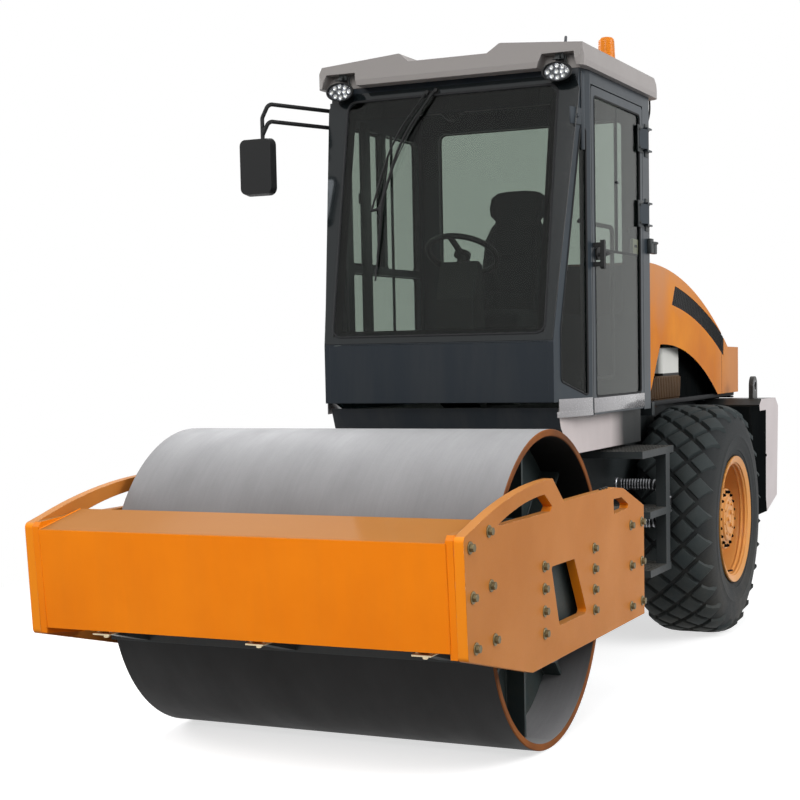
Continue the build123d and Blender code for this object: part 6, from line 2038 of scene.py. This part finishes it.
def makeWeightTrim(spec):
    # welds along the feet of the lifting eyes
    bm = bmesh.new()
    (frontX, frontZ), (backX, backZ) = spec["foot"]
    for sign in (-1, 1):
        for way in (-1, 1):
            y = spec["y"] * sign + (spec["half"] + 0.001) * way
            stamp(bm, weldPart((frontX, y, frontZ), (backX, y, backZ), 0.005))
    finishPiece("eyeWelds", bm, "rear_unit", "framePaint", 50.0)
    # light rims round the lifting eyes' holes
    rims = bmesh.new()
    x, z = spec["hole"]
    places = [
        at(x, spec["y"] * sign + spec["half"] * way, z) @ sideOut(way)
        for sign in (-1, 1) for way in (-1, 1)
    ]
    stamp(rims, lathePart(spec["rim"], 32), places)
    finishPiece("eyeRims", rims, "rear_unit", "steelGrey")


makeWeightTrim(eyeShape)


hoseShape = {
    "x": -0.588, "radius": 0.028,
    "near": 0.478, "far": 0.79, "low": 0.77, "high": 0.995, "bend": 0.09,
    "pitch": 0.017,
    "ring": (
        (0.026, -0.006), (0.032, -0.005), (0.034, 0.0), (0.032, 0.005), (0.026, 0.006), (0.026, -0.006),
    ),
    "collar": ((0.024, 0), (0.04, 0), (0.04, 0.012), (0.036, 0.016), (0.036, 0.034), (0.024, 0.034)),
}


def makeWrappedHose(spec):
    # suction hose bent round in front of the left wheel, with its guard wound on
    hose, wrap = bmesh.new(), bmesh.new()
    x, near, far, bend = spec["x"], spec["near"], spec["far"], spec["bend"]
    heights = (spec["high"], spec["low"])
    path = ((x, near, heights[0]), (x, far, heights[0]), (x, far, heights[1]), (x, near, heights[1]))
    stamp(hose, pipePart(path, spec["radius"], bend, 16))
    rings = [
        at(x, near + 0.022 + spec["pitch"] * step, z) @ turned("X", 90) @ turned("Y", 8)
        for z in heights for step in range(12)
    ]
    for centre, start in ((heights[0] - bend, 0), (heights[1] + bend, 90)):
        for step in range(5):
            turn = start + 9 + step * 18
            y = far - bend + bend * math.sin(math.radians(turn))
            z = centre + bend * math.cos(math.radians(turn))
            rings.append(at(x, y, z) @ turned("X", 90 - turn))
    stamp(wrap, lathePart(spec["ring"], 20), rings)
    stamp(wrap, lathePart(spec["collar"], 24), [at(x, near + 0.001, z) @ outLeft for z in heights])
    finishPiece("suctionHose", hose, "rear_unit", "blackRubber")
    finishPiece("hoseGuard", wrap, "rear_unit", "steelGrey")


makeWrappedHose(hoseShape)
print("hood and rear")


# inside the cab
def settledPad(part, voxel, push):
    # swells a closed shape as a stuffed pad; push is the most a point may move
    scene = bpy.context.scene
    mesh = bpy.data.meshes.new("pad")
    part.to_mesh(mesh)
    part.free()
    rough = bpy.data.objects.new("pad", mesh)
    scene.collection.objects.link(rough)
    even = rough.modifiers.new("even", "REMESH")
    even.mode = "VOXEL"
    even.voxel_size = voxel
    shape = bpy.data.meshes.new_from_object(rough.evaluated_get(bpy.context.evaluated_depsgraph_get()))
    bpy.data.objects.remove(rough)
    bpy.data.meshes.remove(mesh)
    pad = bpy.data.objects.new("pad", shape)
    scene.collection.objects.link(pad)
    cloth = pad.modifiers.new("cloth", "CLOTH")
    cloth.settings.quality = 5
    cloth.settings.use_pressure = True
    cloth.settings.uniform_pressure_force = 4.0
    cloth.settings.effector_weights.gravity = 0.0
    for frameNumber in range(1, 21):
        scene.frame_set(frameNumber)
    settled = bpy.data.meshes.new_from_object(
        pad.evaluated_get(bpy.context.evaluated_depsgraph_get())
    )
    for vert, moved in zip(shape.vertices, settled.vertices):
        step = moved.co - vert.co
        vert.co = vert.co + step * min(1.0, push / max(step.length, 0.000001))
    bpy.data.objects.remove(pad)
    bpy.data.meshes.remove(settled)
    scene.frame_set(1)
    swollen = bmesh.new()
    swollen.from_mesh(shape)
    bpy.data.meshes.remove(shape)
    return swollen


def padPiece(name, bm, node):
    piece = finishPiece(name, bm, "rear_unit", "seatCloth", 180.0)
    soft = piece.modifiers.new("soft", "SUBSURF")
    soft.levels = soft.render_levels = 1
    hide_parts(node)
    return piece


def sewn(bm, facing, lines, depth, width):
    # draws sewn channels into the side that faces one way; a line is an axis and a place on it
    for vert in bm.verts:
        share = vert.normal.dot(facing)
        if share < 0.3:
            continue
        for axis, place in lines:
            gap = (vert.co[axis] - place) / width
            vert.co = vert.co - facing * depth * share * math.exp(-gap * gap)


seatShape = {
    "voxel": 0.007, "push": 0.012, "inset": 0.013,
    "backOutline": (
        # across and height of the back and its headrest, one half
        (0.000, 1.94), (0.15, 1.94), (0.196, 1.965), (0.214, 2.06), (0.216, 2.3),
        (0.2, 2.45), (0.165, 2.52), (0.14, 2.548), (0.138, 2.56), (0.168, 2.59),
        (0.174, 2.64), (0.16, 2.7), (0.12, 2.73), (0.06, 2.737), (0.000, 2.737),
    ),
    "thick": 0.092,
}


def makeSeat(spec):
    low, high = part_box("seat_cushion")
    size, centre = high - low, (low + high) / 2
    inset = spec["inset"]
    cushion = boxPart(size.x - 2 * inset, size.y - 2 * inset, size.z - 2 * inset, 0.032, 4)
    bmesh.ops.translate(cushion, vec=centre, verts=cushion.verts[:])
    bm = settledPad(cushion, spec["voxel"], spec["push"])
    sewn(bm, Vector((0, 0, 1)), ((1, 0.14), (1, -0.14), (0, centre.x + 0.12)), 0.009, 0.009)
    padPiece("seatCushion", bm, "seat_cushion")
    # the back, made lying flat, then stood up with its lean
    low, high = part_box("seat_back")
    half = spec["backOutline"]
    outline = [(y, z) for y, z in half] + [(-y, z) for y, z in reversed(half[1:-1])]
    back = platePart(outline, spec["thick"], 0.026, 4)
    lean = (high.x - low.x - spec["thick"] - 2 * inset) / (high.z - low.z)
    front = high.x - inset
    for vert in back.verts:
        y, z, out = vert.co
        vert.co = Vector((front - spec["thick"] + out - (z - low.z) * lean, y, z))
    bmesh.ops.recalc_face_normals(back, faces=back.faces[:])
    bm = settledPad(back, spec["voxel"], spec["push"])
    sewn(bm, Vector((1, 0, 0)), ((1, 0.125), (1, -0.125), (2, 2.15), (2, 2.35)), 0.009, 0.009)
    padPiece("seatBack", bm, "seat_back")


makeSeat(seatShape)


matShape = {"front": 0.86, "back": -0.4, "half": 0.6, "top": 1.4965, "ribs": 46}


def makeFloorMat(spec):
    bm = bmesh.new()
    length = spec["front"] - spec["back"]
    centre = (spec["front"] + spec["back"]) / 2
    stamp(bm, boxPart(length, 2 * spec["half"], 0.006, 0.002), [at(centre, 0, spec["top"] - 0.003)])
    pitch = (length - 0.06) / (spec["ribs"] - 1)
    first, height = spec["back"] + 0.03, spec["top"] + 0.001
    places = [at(first + rib * pitch, 0, height) for rib in range(spec["ribs"])]
    stamp(bm, boxPart(0.008, 2 * spec["half"] - 0.05, 0.004, 0.001, 1), places)
    finishPiece("floorMat", bm, "rear_unit", "blackRubber")


makeFloorMat(matShape)


wallPosts = {
    "inset": 0.04, "middle": 2.5, "tall": 1.2,
    # place along, width, depth and rounding
    "posts": ((0.325, 0.12, 0.012, 0.004), (-0.02, 0.024, 0.01, 0.003)),
}


def makeWallPosts(spec):
    # dark posts between the right wall's front light and its windows
    bm = bmesh.new()
    for x, wide, deep, edge in spec["posts"]:
        place = at(x, spec["inset"] - cabHalf, spec["middle"])
        stamp(bm, boxPart(wide, deep, spec["tall"], edge), [place])
    finishPiece("wallPosts", bm, "rear_unit", "framePaint")


makeWallPosts(wallPosts)
print("inside the cab")
